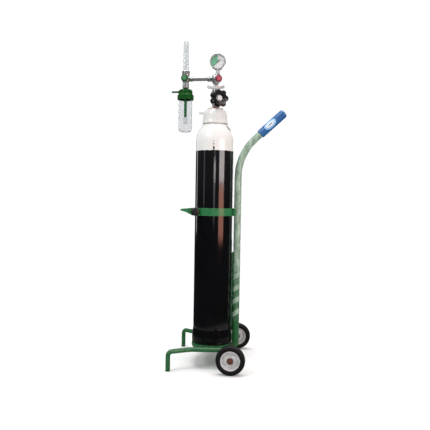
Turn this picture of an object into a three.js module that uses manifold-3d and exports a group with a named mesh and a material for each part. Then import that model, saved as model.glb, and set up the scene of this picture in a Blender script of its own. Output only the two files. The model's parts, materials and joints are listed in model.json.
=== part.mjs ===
// Medical oxygen cylinder on a two-wheeled hand trolley, with its valve, regulator, flowmeter and humidifier.
// Millimetres, +Z up. While it is being built the cylinder's axis is the Z axis and the floor is z = 0;
// the trolley's handle points to +X, its feet to -X and its axle lies along Y. The last lines move the
// group so that the origin is the middle of the footprint.
import * as THREE from "three";
import { mergeVertices } from "three/addons/utils/BufferGeometryUtils.js";
import Module from "manifold-3d";

const wasm = await Module();
wasm.setup();

// ---------------------------------------------------------------- driving dimensions
const GAP = 0.3; // clearance between touching pieces

const WHEEL_R = 51;
const TYRE_WIDTH = 28;
const TRACK = 344; // middle of one tyre to middle of the other
const AXLE_R = 8;
const STUB_R = 6; // the axle ends that carry the wheels
const AXLE_X = 85;

const ROD_R = 8.2; // bent rods of the trolley's base
const ROD_Z = WHEEL_R + AXLE_R + GAP + ROD_R;
const FOOT_X = -134;
const FOOT_Y = 162;
const PLATE_TOP = 71;
const PLATE_THICK = 4;

const POLE_R = 12.7;
const POLE_WALL = 1.6;
const POLE_X = 88.5;
const BEND_Z = 770; // where the upright and the handle's line cross
const BEND_R = 190;
const HANDLE_TILT = THREE.MathUtils.degToRad(47.5); // away from the vertical
const GRIP_START = 107; // along the handle, from the crossing
const GRIP_LENGTH = 118;
const GRIP_R = 16.4;

const CYLINDER_R = 70;
const CYLINDER_WALL = 5;
const FOOT_RING_R = 74;
const FOOT_RING_TOP = 124;
const SHOULDER_Z = 812; // where the straight wall ends
const SHOULDER_RISE = 82.5;
const NECK_R = 17.5;
const NECK_BORE = 11;
const NECK_TOP = 912;

const CLAMP_Z = 555;
const BAND_HEIGHT = 28;
const BAND_IN = CYLINDER_R + 0.6;
const BAND_OUT = BAND_IN + 3;

const VALVE_TOP = 1004;
const SPINDLE_Z = 966;
const SPINDLE_TURN = THREE.MathUtils.degToRad(20); // handwheel's direction, from -Y towards +X
const HANDWHEEL_R = 34.5;

const REGULATOR_Z = 1046;
const BONNET_Z = 1040.5;
const BONNET_TURN = THREE.MathUtils.degToRad(22);
const GAUGE = new THREE.Vector3(6.5, -2, 1107.5);
const GAUGE_R = 29.5;

const FLOW_X = -113; // axis of the flowmeter and the humidifier
const TUBE_TOP = 1186;
const LID_TOP = 1007;
const LID_CAP_R = 26;
const LID_R = 30.5;
const LID_BOTTOM = 969;
const BOTTLE_R = 25.5;
const BOTTLE_BOTTOM = 849;
const OUTLET_Z = 998;
const OUTLET_TIP = 52; // from the humidifier's axis

const FINE = 36; // sides of the large rounds
const ROUND = 24;
const SMALL = 16;
const TINY = 12;

// ---------------------------------------------------------------- materials
function finish(color, roughness, metalness, opacity = 1) {
  return new THREE.MeshStandardMaterial({ color, roughness, metalness, opacity, transparent: opacity < 1 });
}
const paint = {
  green: finish(0x1f6b38, 0.35, 0.1),
  black: finish(0x08090b, 0.15, 0.2),
  white: finish(0xf2f2ee, 0.3, 0.0),
};
const metal = {
  chrome: finish(0xd8dadd, 0.12, 1.0),
  brass: finish(0xb08a4a, 0.3, 1.0),
  zinc: finish(0xaeb2b5, 0.4, 0.9),
  steel: finish(0x8c9094, 0.35, 1.0),
  spring: finish(0x6c7075, 0.4, 1.0),
};
const plastic = {
  blue: finish(0x1f5fb0, 0.4, 0.0),
  green: finish(0x0c4a1e, 0.35, 0.0),
  knobGreen: finish(0x1c7a3c, 0.3, 0.0),
  black: finish(0x1c1e20, 0.45, 0.0),
  red: finish(0xc23a48, 0.35, 0.0),
  white: finish(0xf4f4f4, 0.5, 0.0),
  clear: finish(0xe8eef0, 0.05, 0.0, 0.35),
  dial: finish(0xf6f8f8, 0.4, 0.0),
  rubber: finish(0x121212, 0.85, 0.0),
  bronze: finish(0x6e3a26, 0.5, 0.4),
};

// ---------------------------------------------------------------- shape helpers
const UP = new THREE.Vector3(0, 0, 1);

// A manifold-3d solid from a closed three.js geometry, turned so that its faces point out.
function solidFrom(geometry) {
  const bare = geometry.clone();
  bare.deleteAttribute("normal");
  bare.deleteAttribute("uv");
  const merged = mergeVertices(bare, 1e-4);
  const vertProperties = new Float32Array(merged.attributes.position.array);
  const triVerts = new Uint32Array(merged.index.array);
  const made = new wasm.Manifold(new wasm.Mesh({ numProp: 3, vertProperties, triVerts }));
  if (made.volume() >= 0) return made;
  for (let i = 0; i < triVerts.length; i += 3) {
    const first = triVerts[i];
    triVerts[i] = triVerts[i + 1];
    triVerts[i + 1] = first;
  }
  return new wasm.Manifold(new wasm.Mesh({ numProp: 3, vertProperties, triVerts }));
}

function geometryFrom(solid) {
  const mesh = solid.getMesh();
  const geometry = new THREE.BufferGeometry();
  geometry.setAttribute("position", new THREE.BufferAttribute(new Float32Array(mesh.vertProperties), 3));
  geometry.setIndex(new THREE.BufferAttribute(new Uint32Array(mesh.triVerts), 1));
  geometry.computeVertexNormals();
  return geometry;
}

function facingOut(geometry) {
  return geometryFrom(solidFrom(geometry));
}

function join(...geometries) {
  return geometryFrom(geometries.map(solidFrom).reduce((a, b) => a.add(b)));
}

function cut(geometry, ...tools) {
  return geometryFrom(tools.map(solidFrom).reduce((a, b) => a.subtract(b), solidFrom(geometry)));
}

// A solid of revolution about Z from [radius, z] pairs that start and end on the axis, or go round a ring.
function turned(profile, segments = ROUND) {
  const closes = profile[0][0] > 0;
  const outline = closes ? [...profile, profile[0]] : profile;
  const points = outline.map(([r, z]) => new THREE.Vector2(r, z));
  return facingOut(new THREE.LatheGeometry(points, segments).rotateX(Math.PI / 2));
}

function rod(radius, bottom, top, segments = ROUND) {
  return turned([[0, bottom], [radius, bottom], [radius, top], [0, top]], segments);
}

function ring(inner, outer, bottom, top, segments = ROUND) {
  return turned([[inner, bottom], [outer, bottom], [outer, top], [inner, top]], segments);
}

function hexagon(acrossCorners, bottom, top) {
  return rod(acrossCorners / 2, bottom, top, 6);
}

// A flat shape in X and Y, raised from one height to another.
function slab(shape, bottom, top, curveSegments = 8) {
  const options = { depth: top - bottom, bevelEnabled: false, curveSegments };
  const geometry = new THREE.ExtrudeGeometry(shape, options);
  return facingOut(geometry.translate(0, 0, bottom));
}

function polygon(corners) {
  return new THREE.Shape(corners.map(([x, y]) => new THREE.Vector2(x, y)));
}

function block(x0, x1, y0, y1, z0, z1) {
  const box = new THREE.BoxGeometry(x1 - x0, y1 - y0, z1 - z0);
  return facingOut(box.translate((x0 + x1) / 2, (y0 + y1) / 2, (z0 + z1) / 2));
}

// Straight runs between corners, each corner rounded to its own radius. Only the bends are divided.
class BentPath extends THREE.Curve {
  constructor(corners, radii, bendSteps) {
    super();
    this.stations = [{ point: corners[0], tangent: corners[1].clone().sub(corners[0]).normalize() }];
    for (let i = 1; i < corners.length - 1; i++) {
      const into = corners[i].clone().sub(corners[i - 1]).normalize();
      const out = corners[i + 1].clone().sub(corners[i]).normalize();
      const angle = into.angleTo(out);
      const axis = into.clone().cross(out).normalize();
      const start = corners[i].clone().addScaledVector(into, -radii[i - 1] * Math.tan(angle / 2));
      const centre = start.clone().addScaledVector(axis.clone().cross(into), radii[i - 1]);
      const spoke = start.clone().sub(centre);
      for (let step = 0; step <= bendSteps[i - 1]; step++) {
        const turn = (angle * step) / bendSteps[i - 1];
        const point = spoke.clone().applyAxisAngle(axis, turn).add(centre);
        this.stations.push({ point, tangent: into.clone().applyAxisAngle(axis, turn) });
      }
    }
    const lastRun = corners.at(-1).clone().sub(corners.at(-2));
    this.stations.push({ point: corners.at(-1), tangent: lastRun.normalize() });
    this.steps = this.stations.length - 1;
  }
  getPointAt(share, target = new THREE.Vector3()) {
    return target.copy(this.stations[Math.round(share * this.steps)].point);
  }
  getTangentAt(share, target = new THREE.Vector3()) {
    return target.copy(this.stations[Math.round(share * this.steps)].tangent);
  }
}

function tube(path, radius, bore, sides, steps = path.steps) {
  const section = new THREE.Shape().absarc(0, 0, radius, 0, 2 * Math.PI);
  if (bore > 0) section.holes.push(new THREE.Path().absarc(0, 0, bore, 0, 2 * Math.PI));
  return facingOut(new THREE.ExtrudeGeometry(section, { steps, extrudePath: path, curveSegments: sides / 2 }));
}

// A geometry drawn along +Z from the origin, moved to start at a point and run along a direction.
function aimed(geometry, origin, direction) {
  const turn = new THREE.Quaternion().setFromUnitVectors(UP, direction.clone().normalize());
  return geometry.applyQuaternion(turn).translate(origin.x, origin.y, origin.z);
}

function vec(x, y, z) {
  return new THREE.Vector3(x, y, z);
}

const assembly = new THREE.Group();

function add(name, geometry, material, parent = assembly) {
  const mesh = new THREE.Mesh(geometry, material);
  mesh.name = name;
  parent.add(mesh);
  return mesh;
}

// A group whose own +Z runs along a direction.
function frameAt(origin, direction) {
  const group = new THREE.Group();
  group.position.copy(origin);
  group.quaternion.setFromUnitVectors(UP, direction.clone().normalize());
  assembly.add(group);
  return group;
}

// ---------------------------------------------------------------- trolley base
const SIDES = [
  ["left", -1],
  ["right", 1],
];
const LEG_TURN_X = -60; // where the leg's spread changes
const LEG_TURN_Y = 119;
const LEG_END_Y = 104;
const FOOT_PLUG = 3;

function addLeg(side, sign) {
  const corners = [
    vec(FOOT_X, sign * FOOT_Y, FOOT_PLUG + GAP),
    vec(FOOT_X, sign * FOOT_Y, ROD_Z),
    vec(LEG_TURN_X, sign * LEG_TURN_Y, ROD_Z),
    vec(AXLE_X + AXLE_R, sign * LEG_END_Y, ROD_Z),
  ];
  add(`leg_rod_${side}`, tube(new BentPath(corners, [14, 60], [5, 2]), ROD_R, 0, 12), paint.green);
  const plug = turned([[0, 0], [ROD_R - 1, 0], [ROD_R, 1], [ROD_R, FOOT_PLUG], [0, FOOT_PLUG]], SMALL);
  add(`foot_plug_${side}`, plug.translate(FOOT_X, sign * FOOT_Y, 0), paint.green);
}

function basePlate() {
  const back = POLE_X - POLE_R - 3;
  const half = (x) => {
    const share = (x - LEG_TURN_X) / (AXLE_X + AXLE_R - LEG_TURN_X);
    return THREE.MathUtils.lerp(LEG_TURN_Y, LEG_END_Y, share) - ROD_R - 2;
  };
  const shape = new THREE.Shape();
  shape.moveTo(back, -half(back));
  shape.lineTo(back, half(back));
  shape.lineTo(LEG_TURN_X + 12, half(LEG_TURN_X + 12));
  shape.quadraticCurveTo(-98, 0, LEG_TURN_X + 12, -half(LEG_TURN_X + 12));
  return slab(shape, PLATE_TOP - PLATE_THICK, PLATE_TOP, 12);
}

SIDES.forEach(([side, sign]) => addLeg(side, sign));
add("base_plate", basePlate(), paint.green);

// ---------------------------------------------------------------- axle and wheels
const WHEEL_Y = TRACK / 2;
const AXLE_END = WHEEL_Y + TYRE_WIDTH / 2 + 6;
const RIM_R = 34;
const HUB_R = 11;
const HALF_RIM = 12;

function tyre() {
  const edge = TYRE_WIDTH / 2;
  return turned([
    [RIM_R + GAP, -HALF_RIM], [41, -edge + 1], [47, -edge + 1.5], [50, -edge + 5], [WHEEL_R, -4],
    [WHEEL_R, 4], [50, edge - 5], [47, edge - 1.5], [41, edge - 1], [RIM_R + GAP, HALF_RIM],
  ], FINE);
}

function rim() {
  return turned([
    [HUB_R, -11], [17, -11], [18, -3], [26, -1], [30, -HALF_RIM], [RIM_R, -HALF_RIM],
    [RIM_R, HALF_RIM], [31, HALF_RIM], [28, 3], [19, 5], [17, 12], [HUB_R, 12],
  ], ROUND);
}

function axleCap() {
  const start = TYRE_WIDTH / 2 - 1;
  const end = AXLE_END - WHEEL_Y;
  return turned([
    [STUB_R + GAP, start], [10, start], [10, start + 1.5], [8, start + 2], [8, end + 2], [5, end + 4.5],
    [0, end + 5], [0, end + GAP], [STUB_R + GAP, end + GAP],
  ], SMALL);
}

function addWheel(side, sign) {
  const wheel = frameAt(vec(AXLE_X, sign * WHEEL_Y, WHEEL_R), vec(0, sign, 0));
  add(`tyre_${side}`, tyre(), plastic.rubber, wheel);
  add(`rim_${side}`, rim(), metal.zinc, wheel);
  add(`bearing_${side}`, ring(STUB_R + GAP, HUB_R - GAP, -11, 11, SMALL), metal.steel, wheel);
  add(`axle_cap_${side}`, axleCap(), plastic.bronze, wheel);
}

SIDES.forEach(([side, sign]) => addWheel(side, sign));
const SHOULDER_Y = WHEEL_Y - TYRE_WIDTH / 2 - 1;
const axle = turned([
  [0, -AXLE_END], [STUB_R, -AXLE_END], [STUB_R, -SHOULDER_Y], [AXLE_R, -SHOULDER_Y], [AXLE_R, SHOULDER_Y],
  [STUB_R, SHOULDER_Y], [STUB_R, AXLE_END], [0, AXLE_END],
], ROUND);
add("axle", aimed(axle, vec(AXLE_X, 0, WHEEL_R), vec(0, 1, 0)), paint.green);

// ---------------------------------------------------------------- pole, grip and backrest
const handleDirection = vec(Math.sin(HANDLE_TILT), 0, Math.cos(HANDLE_TILT));
const crossing = vec(POLE_X, 0, BEND_Z);
const GRIP_WALL_END = 6;

const poleCorners = [
  vec(POLE_X, 0, WHEEL_R + AXLE_R + GAP),
  crossing,
  crossing.clone().addScaledVector(handleDirection, GRIP_START + GRIP_LENGTH - GRIP_WALL_END),
];
add("handle_pole", tube(new BentPath(poleCorners, [BEND_R], [8]), POLE_R, POLE_R - POLE_WALL, 16), paint.green);

const grip = turned([
  [0, GRIP_LENGTH - GRIP_WALL_END + GAP], [POLE_R + GAP, GRIP_LENGTH - GRIP_WALL_END + GAP],
  [POLE_R + GAP, 0], [GRIP_R - 1, 0], [GRIP_R, 2], [GRIP_R, GRIP_LENGTH - 2], [GRIP_R - 2, GRIP_LENGTH],
  [0, GRIP_LENGTH],
], 24);
const gripStart = crossing.clone().addScaledVector(handleDirection, GRIP_START);
add("hand_grip", aimed(grip, gripStart, handleDirection), plastic.blue);

const BACKREST_TOP = 406;
const backrest = block(CYLINDER_R + 1.2, POLE_X - POLE_R - GAP, -12, 12, FOOT_RING_TOP + 6, BACKREST_TOP);
add("backrest_bar", backrest, paint.green);

// ---------------------------------------------------------------- cylinder clamp
const BAND_BOTTOM = CLAMP_Z - BAND_HEIGHT / 2;
const BAND_TOP = CLAMP_Z + BAND_HEIGHT / 2;
const HINGE = vec(80, -23.5, 0);
const EAR = vec(-62, -60, 0); // where the clamp screw crosses the gate's ear
const earOutward = EAR.clone().sub(HINGE).normalize();
const screwDirection = vec(-earOutward.y, earOutward.x, 0); // the way the gate's ear moves as it opens
const EAR_THICK = 3;
const EAR_SPACING = 8;
const SCREW_R = 4;
const PIN_R = 2.4;

function bandSector(fromDegrees, toDegrees) {
  const from = THREE.MathUtils.degToRad(fromDegrees);
  const to = THREE.MathUtils.degToRad(toDegrees);
  const shape = new THREE.Shape();
  shape.absarc(0, 0, BAND_OUT, from, to, false);
  shape.absarc(0, 0, BAND_IN, to, from, true);
  return slab(shape, BAND_BOTTOM, BAND_TOP, Math.ceil((toDegrees - fromDegrees) / 14));
}

// A flat ear that stands on the band's end: its outline is in (distance outward from the screw, height).
function ear(outline, offset, holeRadius) {
  const flat = slab(polygon(outline), -EAR_THICK / 2, EAR_THICK / 2);
  const plate = cut(flat, rod(holeRadius, -EAR_THICK, EAR_THICK, 16));
  const basis = new THREE.Matrix4().makeBasis(earOutward, UP, earOutward.clone().cross(UP));
  const place = EAR.clone().addScaledVector(screwDirection, offset).setZ(CLAMP_Z);
  return plate.applyMatrix4(basis.setPosition(place));
}

const halfBand = BAND_HEIGHT / 2;
const fixedEarCorners = [[-11.5, -halfBand], [12, -halfBand], [12, halfBand], [-11.5, halfBand]];
const fixedEar = ear(fixedEarCorners, -EAR_SPACING, 5.2);
const pullEar = ear([
  [-16, -halfBand], [14, -11.5], [34, -1], [52, 3.5], [54, 6.5], [52, 10], [14, halfBand], [-16, halfBand],
], 0, SCREW_R + 0.4);

add("clamp_band_fixed", join(bandSector(-13, 225), fixedEar), paint.green);

const knuckleGap = BAND_HEIGHT * 0.3;
const knuckle = (bottom, top) => rod(5, bottom, top, 16).translate(HINGE.x, HINGE.y, 0);
const outerKnuckle = (bottom, top) => join(knuckle(bottom, top), block(77, 83, HINGE.y, -16, bottom, top));
const hingeHole = rod(PIN_R + GAP, BAND_BOTTOM - 5, BAND_TOP + 5, 16).translate(HINGE.x, HINGE.y, 0);
const gateWeb = block(69.5, HINGE.x - 2, -25, -21.8, BAND_BOTTOM + knuckleGap, BAND_TOP - knuckleGap);
const gate = join(
  bandSector(229, 343), pullEar, gateWeb, knuckle(BAND_BOTTOM + knuckleGap, BAND_TOP - knuckleGap),
);
add("clamp_band_gate", cut(gate, hingeHole), paint.green);

// The bracket fills the gap between the fixed band and the pole, is hollowed to both, and carries the hinge's
// outer knuckles.
const SADDLE_IN = POLE_R + GAP;
const SADDLE_HALF = POLE_R + 4.5;
const SADDLE_END = POLE_X - 4.5;
const saddle = cut(
  join(
    block(BAND_OUT - 4, SADDLE_END, -SADDLE_HALF, SADDLE_HALF, BAND_BOTTOM, BAND_TOP),
    outerKnuckle(BAND_BOTTOM, BAND_BOTTOM + knuckleGap - GAP),
    outerKnuckle(BAND_TOP - knuckleGap + GAP, BAND_TOP),
  ),
  rod(SADDLE_IN, BAND_BOTTOM - 5, BAND_TOP + 5, 24).translate(POLE_X, 0, 0),
  rod(BAND_OUT + GAP, BAND_BOTTOM - 5, BAND_TOP + 5, FINE * 2),
  hingeHole,
);
add("clamp_bracket", saddle, paint.green);
const pin = rod(PIN_R, BAND_BOTTOM - 2, BAND_TOP + 2, 16).translate(HINGE.x, HINGE.y, 0);
add("clamp_hinge_pin", pin, metal.steel);

const knobFrame = frameAt(EAR.clone().setZ(CLAMP_Z), screwDirection);
const KNOB_R = 15;
const KNOB_BOTTOM = 4;
const KNOB_TOP = 19;
add("clamp_screw", rod(SCREW_R, -13, KNOB_TOP - 4, 16), metal.zinc, knobFrame);

// A round knob whose edge swells into lobes.
function lobed(radius, swell, lobes, pointsPerLobe) {
  const count = lobes * pointsPerLobe;
  const corners = Array.from({ length: count }, (_, i) => {
    const angle = (2 * Math.PI * i) / count;
    const r = radius + swell * Math.cos(lobes * angle);
    return [r * Math.cos(angle), r * Math.sin(angle)];
  });
  return polygon(corners);
}
const clampKnob = cut(
  slab(lobed(KNOB_R - 1.2, 1.2, 8, 5), KNOB_BOTTOM, KNOB_TOP),
  rod(SCREW_R + GAP, KNOB_BOTTOM - 5, KNOB_TOP - 4 + GAP, 16),
);
add("clamp_knob", clampKnob, plastic.black, knobFrame);

// ---------------------------------------------------------------- cylinder, foot ring, neck ring and guard
// Radius and height along a quarter ellipse that closes a wall of a given radius, from the wall
// to near the axis.
function dome(radius, startZ, rise, toRadius, steps) {
  const last = Math.acos(toRadius / radius);
  return Array.from({ length: steps + 1 }, (_, i) => {
    const angle = (last * i) / steps;
    return [radius * Math.cos(angle), startZ + rise * Math.sin(angle)];
  });
}

const CYLINDER_FOOT = 75;
const BASE_RISE = 42;
const innerR = CYLINDER_R - CYLINDER_WALL;
const baseZ = CYLINDER_FOOT + BASE_RISE;
const shell = turned([
  ...dome(CYLINDER_R, baseZ, -BASE_RISE, 0, 4).reverse(),
  ...dome(CYLINDER_R, SHOULDER_Z, SHOULDER_RISE, NECK_R, 8),
  [NECK_R, NECK_TOP],
  [NECK_BORE, NECK_TOP],
  ...dome(innerR, SHOULDER_Z, SHOULDER_RISE - CYLINDER_WALL, NECK_BORE, 5).reverse(),
  ...dome(innerR, baseZ, CYLINDER_WALL + 2 - BASE_RISE, 0, 3),
].map(([r, z]) => [Math.abs(r) < 1e-6 ? 0 : r, z]), FINE);
add("cylinder_shell", shell, paint.black);

const footRing = turned([
  [CYLINDER_R + 0.5, PLATE_TOP + GAP + 3], [69, PLATE_TOP + GAP + 1], [69, PLATE_TOP + GAP],
  [FOOT_RING_R - 1.5, PLATE_TOP + GAP], [FOOT_RING_R, PLATE_TOP + GAP + 4], [FOOT_RING_R, 112],
  [71.6, FOOT_RING_TOP - 2], [71.2, FOOT_RING_TOP], [CYLINDER_R + 0.5, FOOT_RING_TOP],
], FINE);
add("foot_ring", footRing, paint.black);

const SHOULDER_TOP = SHOULDER_Z + SHOULDER_RISE * Math.sin(Math.acos(NECK_R / CYLINDER_R));
const NECK_RING_R = 26;
const neckRing = turned([
  [NECK_R + GAP, SHOULDER_TOP + 1], [NECK_RING_R, SHOULDER_TOP + 1], [NECK_RING_R, SHOULDER_TOP + 13],
  [NECK_RING_R - 1.5, SHOULDER_TOP + 14], [NECK_R + GAP, SHOULDER_TOP + 14],
], ROUND);
add("neck_ring", neckRing, metal.steel);

const GUARD_BOTTOM = 879;
const GUARD_TOP = 935;
const GUARD_R = 47.5; // at its flared foot
const FLANGE_Z = 900;
const guardShell = turned([
  [42.5, GUARD_BOTTOM], [GUARD_R, GUARD_BOTTOM], [GUARD_R, 884], [45.7, 893], [44.8, 904], [44.2, 914],
  [42.8, 920.5],
  [37, 928], [28, GUARD_TOP], [26.8, GUARD_TOP - 1.5], [27.4, GUARD_TOP - 3.2], [35, 925.8], [39.5, 919.5],
  [40.5, 915.5], [41.5, FLANGE_Z + 4], [NECK_RING_R + GAP, FLANGE_Z + 4], [NECK_RING_R + GAP, FLANGE_Z],
  [41.8, FLANGE_Z],
], FINE);
const windowShape = polygon([[-24, 908], [24, 908], [24, 922], [20, 926], [-20, 926], [-24, 922]]);
const guardWindow = slab(windowShape, -70, -20).rotateX(Math.PI / 2);
const sealLug = block(-62, -42.4, -3, 3, 915.5, 924.5);
add("valve_guard", join(cut(guardShell, guardWindow), sealLug), paint.white);

// ---------------------------------------------------------------- cylinder valve
const spindleDirection = vec(Math.sin(SPINDLE_TURN), -Math.cos(SPINDLE_TURN), 0);
const spindleOrigin = vec(0, 0, SPINDLE_Z);
const alongSpindle = (geometry) => aimed(geometry, spindleOrigin, spindleDirection);
const SOCKET_R = 10.4;
const SEAT_Z = 990;
const PLUG_R = 6.6;
const BOSS_END = 32;
const SAFETY_Z = 941;

const valveTurning = turned([
  [0, 888], [9.5, 888], [10.6, 891], [10.6, NECK_TOP + GAP], [16.5, NECK_TOP + GAP], [16.5, 922], [13, 924],
  [13, 950], [15.5, 954], [15.5, 982], [15, 986], [15, VALVE_TOP - 1], [14, VALVE_TOP], [0, VALVE_TOP],
], ROUND);
const valveBody = cut(
  join(
    valveTurning,
    alongSpindle(rod(12, 0, BOSS_END, 24)),
    aimed(rod(6.5, 0, 15, 16), vec(0, 0, SAFETY_Z), vec(0, -1, 0)),
  ),
  rod(SOCKET_R, SEAT_Z, VALVE_TOP + 5, 24),
  rod(7, SEAT_Z - 10, SEAT_Z + 5, SMALL),
  rod(3, 880, SEAT_Z, 12),
  alongSpindle(rod(PLUG_R + 0.4, 0.5, BOSS_END + 5, SMALL)),
);
add("valve_body", valveBody, metal.chrome);

const spindleFrame = frameAt(spindleOrigin, spindleDirection);
const seatPlug = turned([[0, 1], [3.5, 1], [PLUG_R, 4], [PLUG_R, 11], [0, 11]], SMALL);
add("seat_plug", seatPlug, metal.brass, spindleFrame);
add("valve_spindle", turned([
  [0, 16.5], [PLUG_R, 16.5], [PLUG_R, 22], [4, 23], [4, 61], [0, 61],
], SMALL), metal.steel, spindleFrame);
const glandNut = cut(hexagon(26, BOSS_END + GAP, 38), rod(4.4, BOSS_END - 5, 45, SMALL));
add("gland_nut", glandNut, metal.chrome, spindleFrame);

const WHEEL_BACK = 39;
const WHEEL_FRONT = 63;

// A thick knob whose edge is broad lobes with narrow grooves between them.
function fluted(radius, depth, flutes, pointsPerFlute) {
  const count = flutes * pointsPerFlute;
  const corners = Array.from({ length: count }, (_, i) => {
    const angle = (2 * Math.PI * i) / count;
    const groove = (0.5 - 0.5 * Math.cos(flutes * angle)) ** 2;
    return [(radius - depth * groove) * Math.cos(angle), (radius - depth * groove) * Math.sin(angle)];
  });
  return polygon(corners);
}
const handwheel = cut(
  join(
    slab(fluted(HANDWHEEL_R, 6.5, 7, 7), WHEEL_BACK + 3, WHEEL_FRONT),
    rod(13, WHEEL_BACK, WHEEL_BACK + 10, ROUND),
  ),
  rod(13.5, WHEEL_FRONT - 8, WHEEL_FRONT + 5, ROUND),
  rod(4.3, WHEEL_BACK - 5, WHEEL_FRONT, SMALL),
);
add("handwheel", handwheel, plastic.black, spindleFrame);
const handwheelNut = cut(
  turned([[0, WHEEL_FRONT - 7.7], [11.5, WHEEL_FRONT - 7.7], [11.5, WHEEL_FRONT - 3], [8, WHEEL_FRONT - 0.5],
    [0, WHEEL_FRONT]], 24),
  rod(4.3, WHEEL_FRONT - 12, 61 + GAP, SMALL),
);
add("handwheel_nut", handwheelNut, metal.zinc, spindleFrame);

const safetyFrame = frameAt(vec(0, 0, SAFETY_Z), vec(0, -1, 0));
add("safety_plug", hexagon(11.5, 15 + GAP, 18.5), metal.brass, safetyFrame);
const safetyCap = turned([[0, 18.8], [4.8, 18.8], [4.8, 23], [3.5, 25], [0, 25]], SMALL);
add("safety_cap", safetyCap, plastic.red, safetyFrame);

// ---------------------------------------------------------------- regulator inlet and wing nut
const STEM_R = 6;
const STEM_TOP = 1025.5;
const NUT_BOTTOM = VALVE_TOP + 3;
const inletStem = turned([
  [2, SEAT_Z - 8], [4.5, SEAT_Z - 8], [6.4, SEAT_Z - 3], [6.4, SEAT_Z + GAP], [9.6, SEAT_Z + GAP],
  [9.6, SEAT_Z + 3], [STEM_R, SEAT_Z + 5], [STEM_R, STEM_TOP - GAP], [2, STEM_TOP - GAP],
], 24);
add("inlet_stem", inletStem, metal.chrome);

const wingOutline = new THREE.Shape();
wingOutline.moveTo(0, NUT_BOTTOM + 1);
wingOutline.lineTo(20, NUT_BOTTOM + 3);
wingOutline.quadraticCurveTo(33, NUT_BOTTOM + 5, 33.5, NUT_BOTTOM + 12);
wingOutline.quadraticCurveTo(32, NUT_BOTTOM + 17.5, 26, NUT_BOTTOM + 15);
wingOutline.lineTo(12, NUT_BOTTOM + 12);
wingOutline.lineTo(0, NUT_BOTTOM + 12);
const wing = () => slab(wingOutline, -3.2, 3.2, 4).rotateX(Math.PI / 2);
const wingNut = cut(
  join(
    turned([[0, SEAT_Z + 6.5], [9.8, SEAT_Z + 6.5], [9.8, NUT_BOTTOM], [14, NUT_BOTTOM], [14, NUT_BOTTOM + 12],
      [11, NUT_BOTTOM + 15], [0, NUT_BOTTOM + 15]], 24),
    wing(), wing().rotateZ(Math.PI),
  ),
  rod(STEM_R + 0.5, SEAT_Z, STEM_TOP + 5, 24),
);
add("wing_nut", wingNut, metal.chrome);

// ---------------------------------------------------------------- regulator
const bonnetDirection = vec(Math.sin(BONNET_TURN), -Math.cos(BONNET_TURN), 0);
const bonnetOrigin = vec(0, 0, BONNET_Z);
const bonnetFrame = frameAt(bonnetOrigin, bonnetDirection);
const BARREL_R = 14.5;
const CHAMBER_R = 10.8;
const BODY_FRONT = 20;
const BONNET_FRONT = 34;
const REGULATOR_TOP = 1064.5;

const regulatorTurning = turned([
  [0, STEM_TOP], [9, STEM_TOP], [16, 1036], [18.2, REGULATOR_Z], [16, 1055], [10, 1060], [0, 1060],
], ROUND);
const regulatorBody = cut(
  join(
    regulatorTurning,
    rod(9, REGULATOR_Z, REGULATOR_TOP, ROUND).translate(GAUGE.x, GAUGE.y, 0),
    aimed(rod(BARREL_R, 0, BODY_FRONT, ROUND), bonnetOrigin, bonnetDirection),
  ),
  aimed(rod(CHAMBER_R, 9, BODY_FRONT + 5, ROUND), bonnetOrigin, bonnetDirection),
  rod(2, STEM_TOP - 5, 1050, TINY),
  rod(2, 1044, REGULATOR_TOP + 5, TINY).translate(GAUGE.x, GAUGE.y, 0),
  aimed(rod(3, 0, 30, TINY), vec(0, 0, REGULATOR_Z), vec(-1, 0, 0)),
);
add("regulator_body", regulatorBody, metal.chrome);
add("diaphragm", rod(CHAMBER_R - 0.6, 17.8, 19, ROUND), plastic.rubber, bonnetFrame);
add("regulator_bonnet", turned([
  [0, BONNET_FRONT], [12.5, BONNET_FRONT], [13.9, BONNET_FRONT - 2], [14.2, BONNET_FRONT - 5],
  [14.2, BODY_FRONT + GAP], [9.8, BODY_FRONT + GAP], [9.8, BONNET_FRONT - 3], [0, BONNET_FRONT - 3],
], ROUND), metal.chrome, bonnetFrame);
add("bonnet_cap", turned([
  [0, BONNET_FRONT + GAP], [12.3, BONNET_FRONT + GAP], [12.3, BONNET_FRONT + 5], [10.5, BONNET_FRONT + 7.5],
  [0, BONNET_FRONT + 8.5],
], ROUND), plastic.red, bonnetFrame);

class Helix extends THREE.Curve {
  constructor(radius, bottom, top, turns) {
    super();
    Object.assign(this, { radius, bottom, top, turns });
  }
  getPoint(t, target = new THREE.Vector3()) {
    const angle = 2 * Math.PI * this.turns * t;
    const height = THREE.MathUtils.lerp(this.bottom, this.top, t);
    return target.set(this.radius * Math.cos(angle), this.radius * Math.sin(angle), height);
  }
}
add("regulator_spring", tube(new Helix(6.4, 20.8, 29.5, 3.5), 1.1, 0, 6, 32), metal.spring, bonnetFrame);

// ---------------------------------------------------------------- pressure gauge
const gaugeFrame = frameAt(GAUGE, vec(0, -1, 0));
const CASE_BACK = -12;
const CASE_FRONT = 12;
const CASE_IN = 27;
const gaugeCup = turned([
  [0, CASE_BACK], [GAUGE_R - 2, CASE_BACK], [GAUGE_R - 0.5, CASE_BACK + 2], [GAUGE_R - 0.5, 6], [GAUGE_R, 7],
  [GAUGE_R, CASE_FRONT - 1], [GAUGE_R - 1, CASE_FRONT], [CASE_IN - 1.2, CASE_FRONT],
  [CASE_IN - 1.2, CASE_FRONT - 1.5],
  [CASE_IN, CASE_FRONT - 1.5], [CASE_IN, CASE_BACK + 3], [0, CASE_BACK + 3],
], FINE);
const stemLength = GAUGE.z - REGULATOR_TOP - GAP;
const stemFlats = hexagon(15, -stemLength + 4, -stemLength + 13);
const gaugeSocket = join(rod(5.5, -stemLength, -GAUGE_R + 2, 16), stemFlats);
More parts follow.
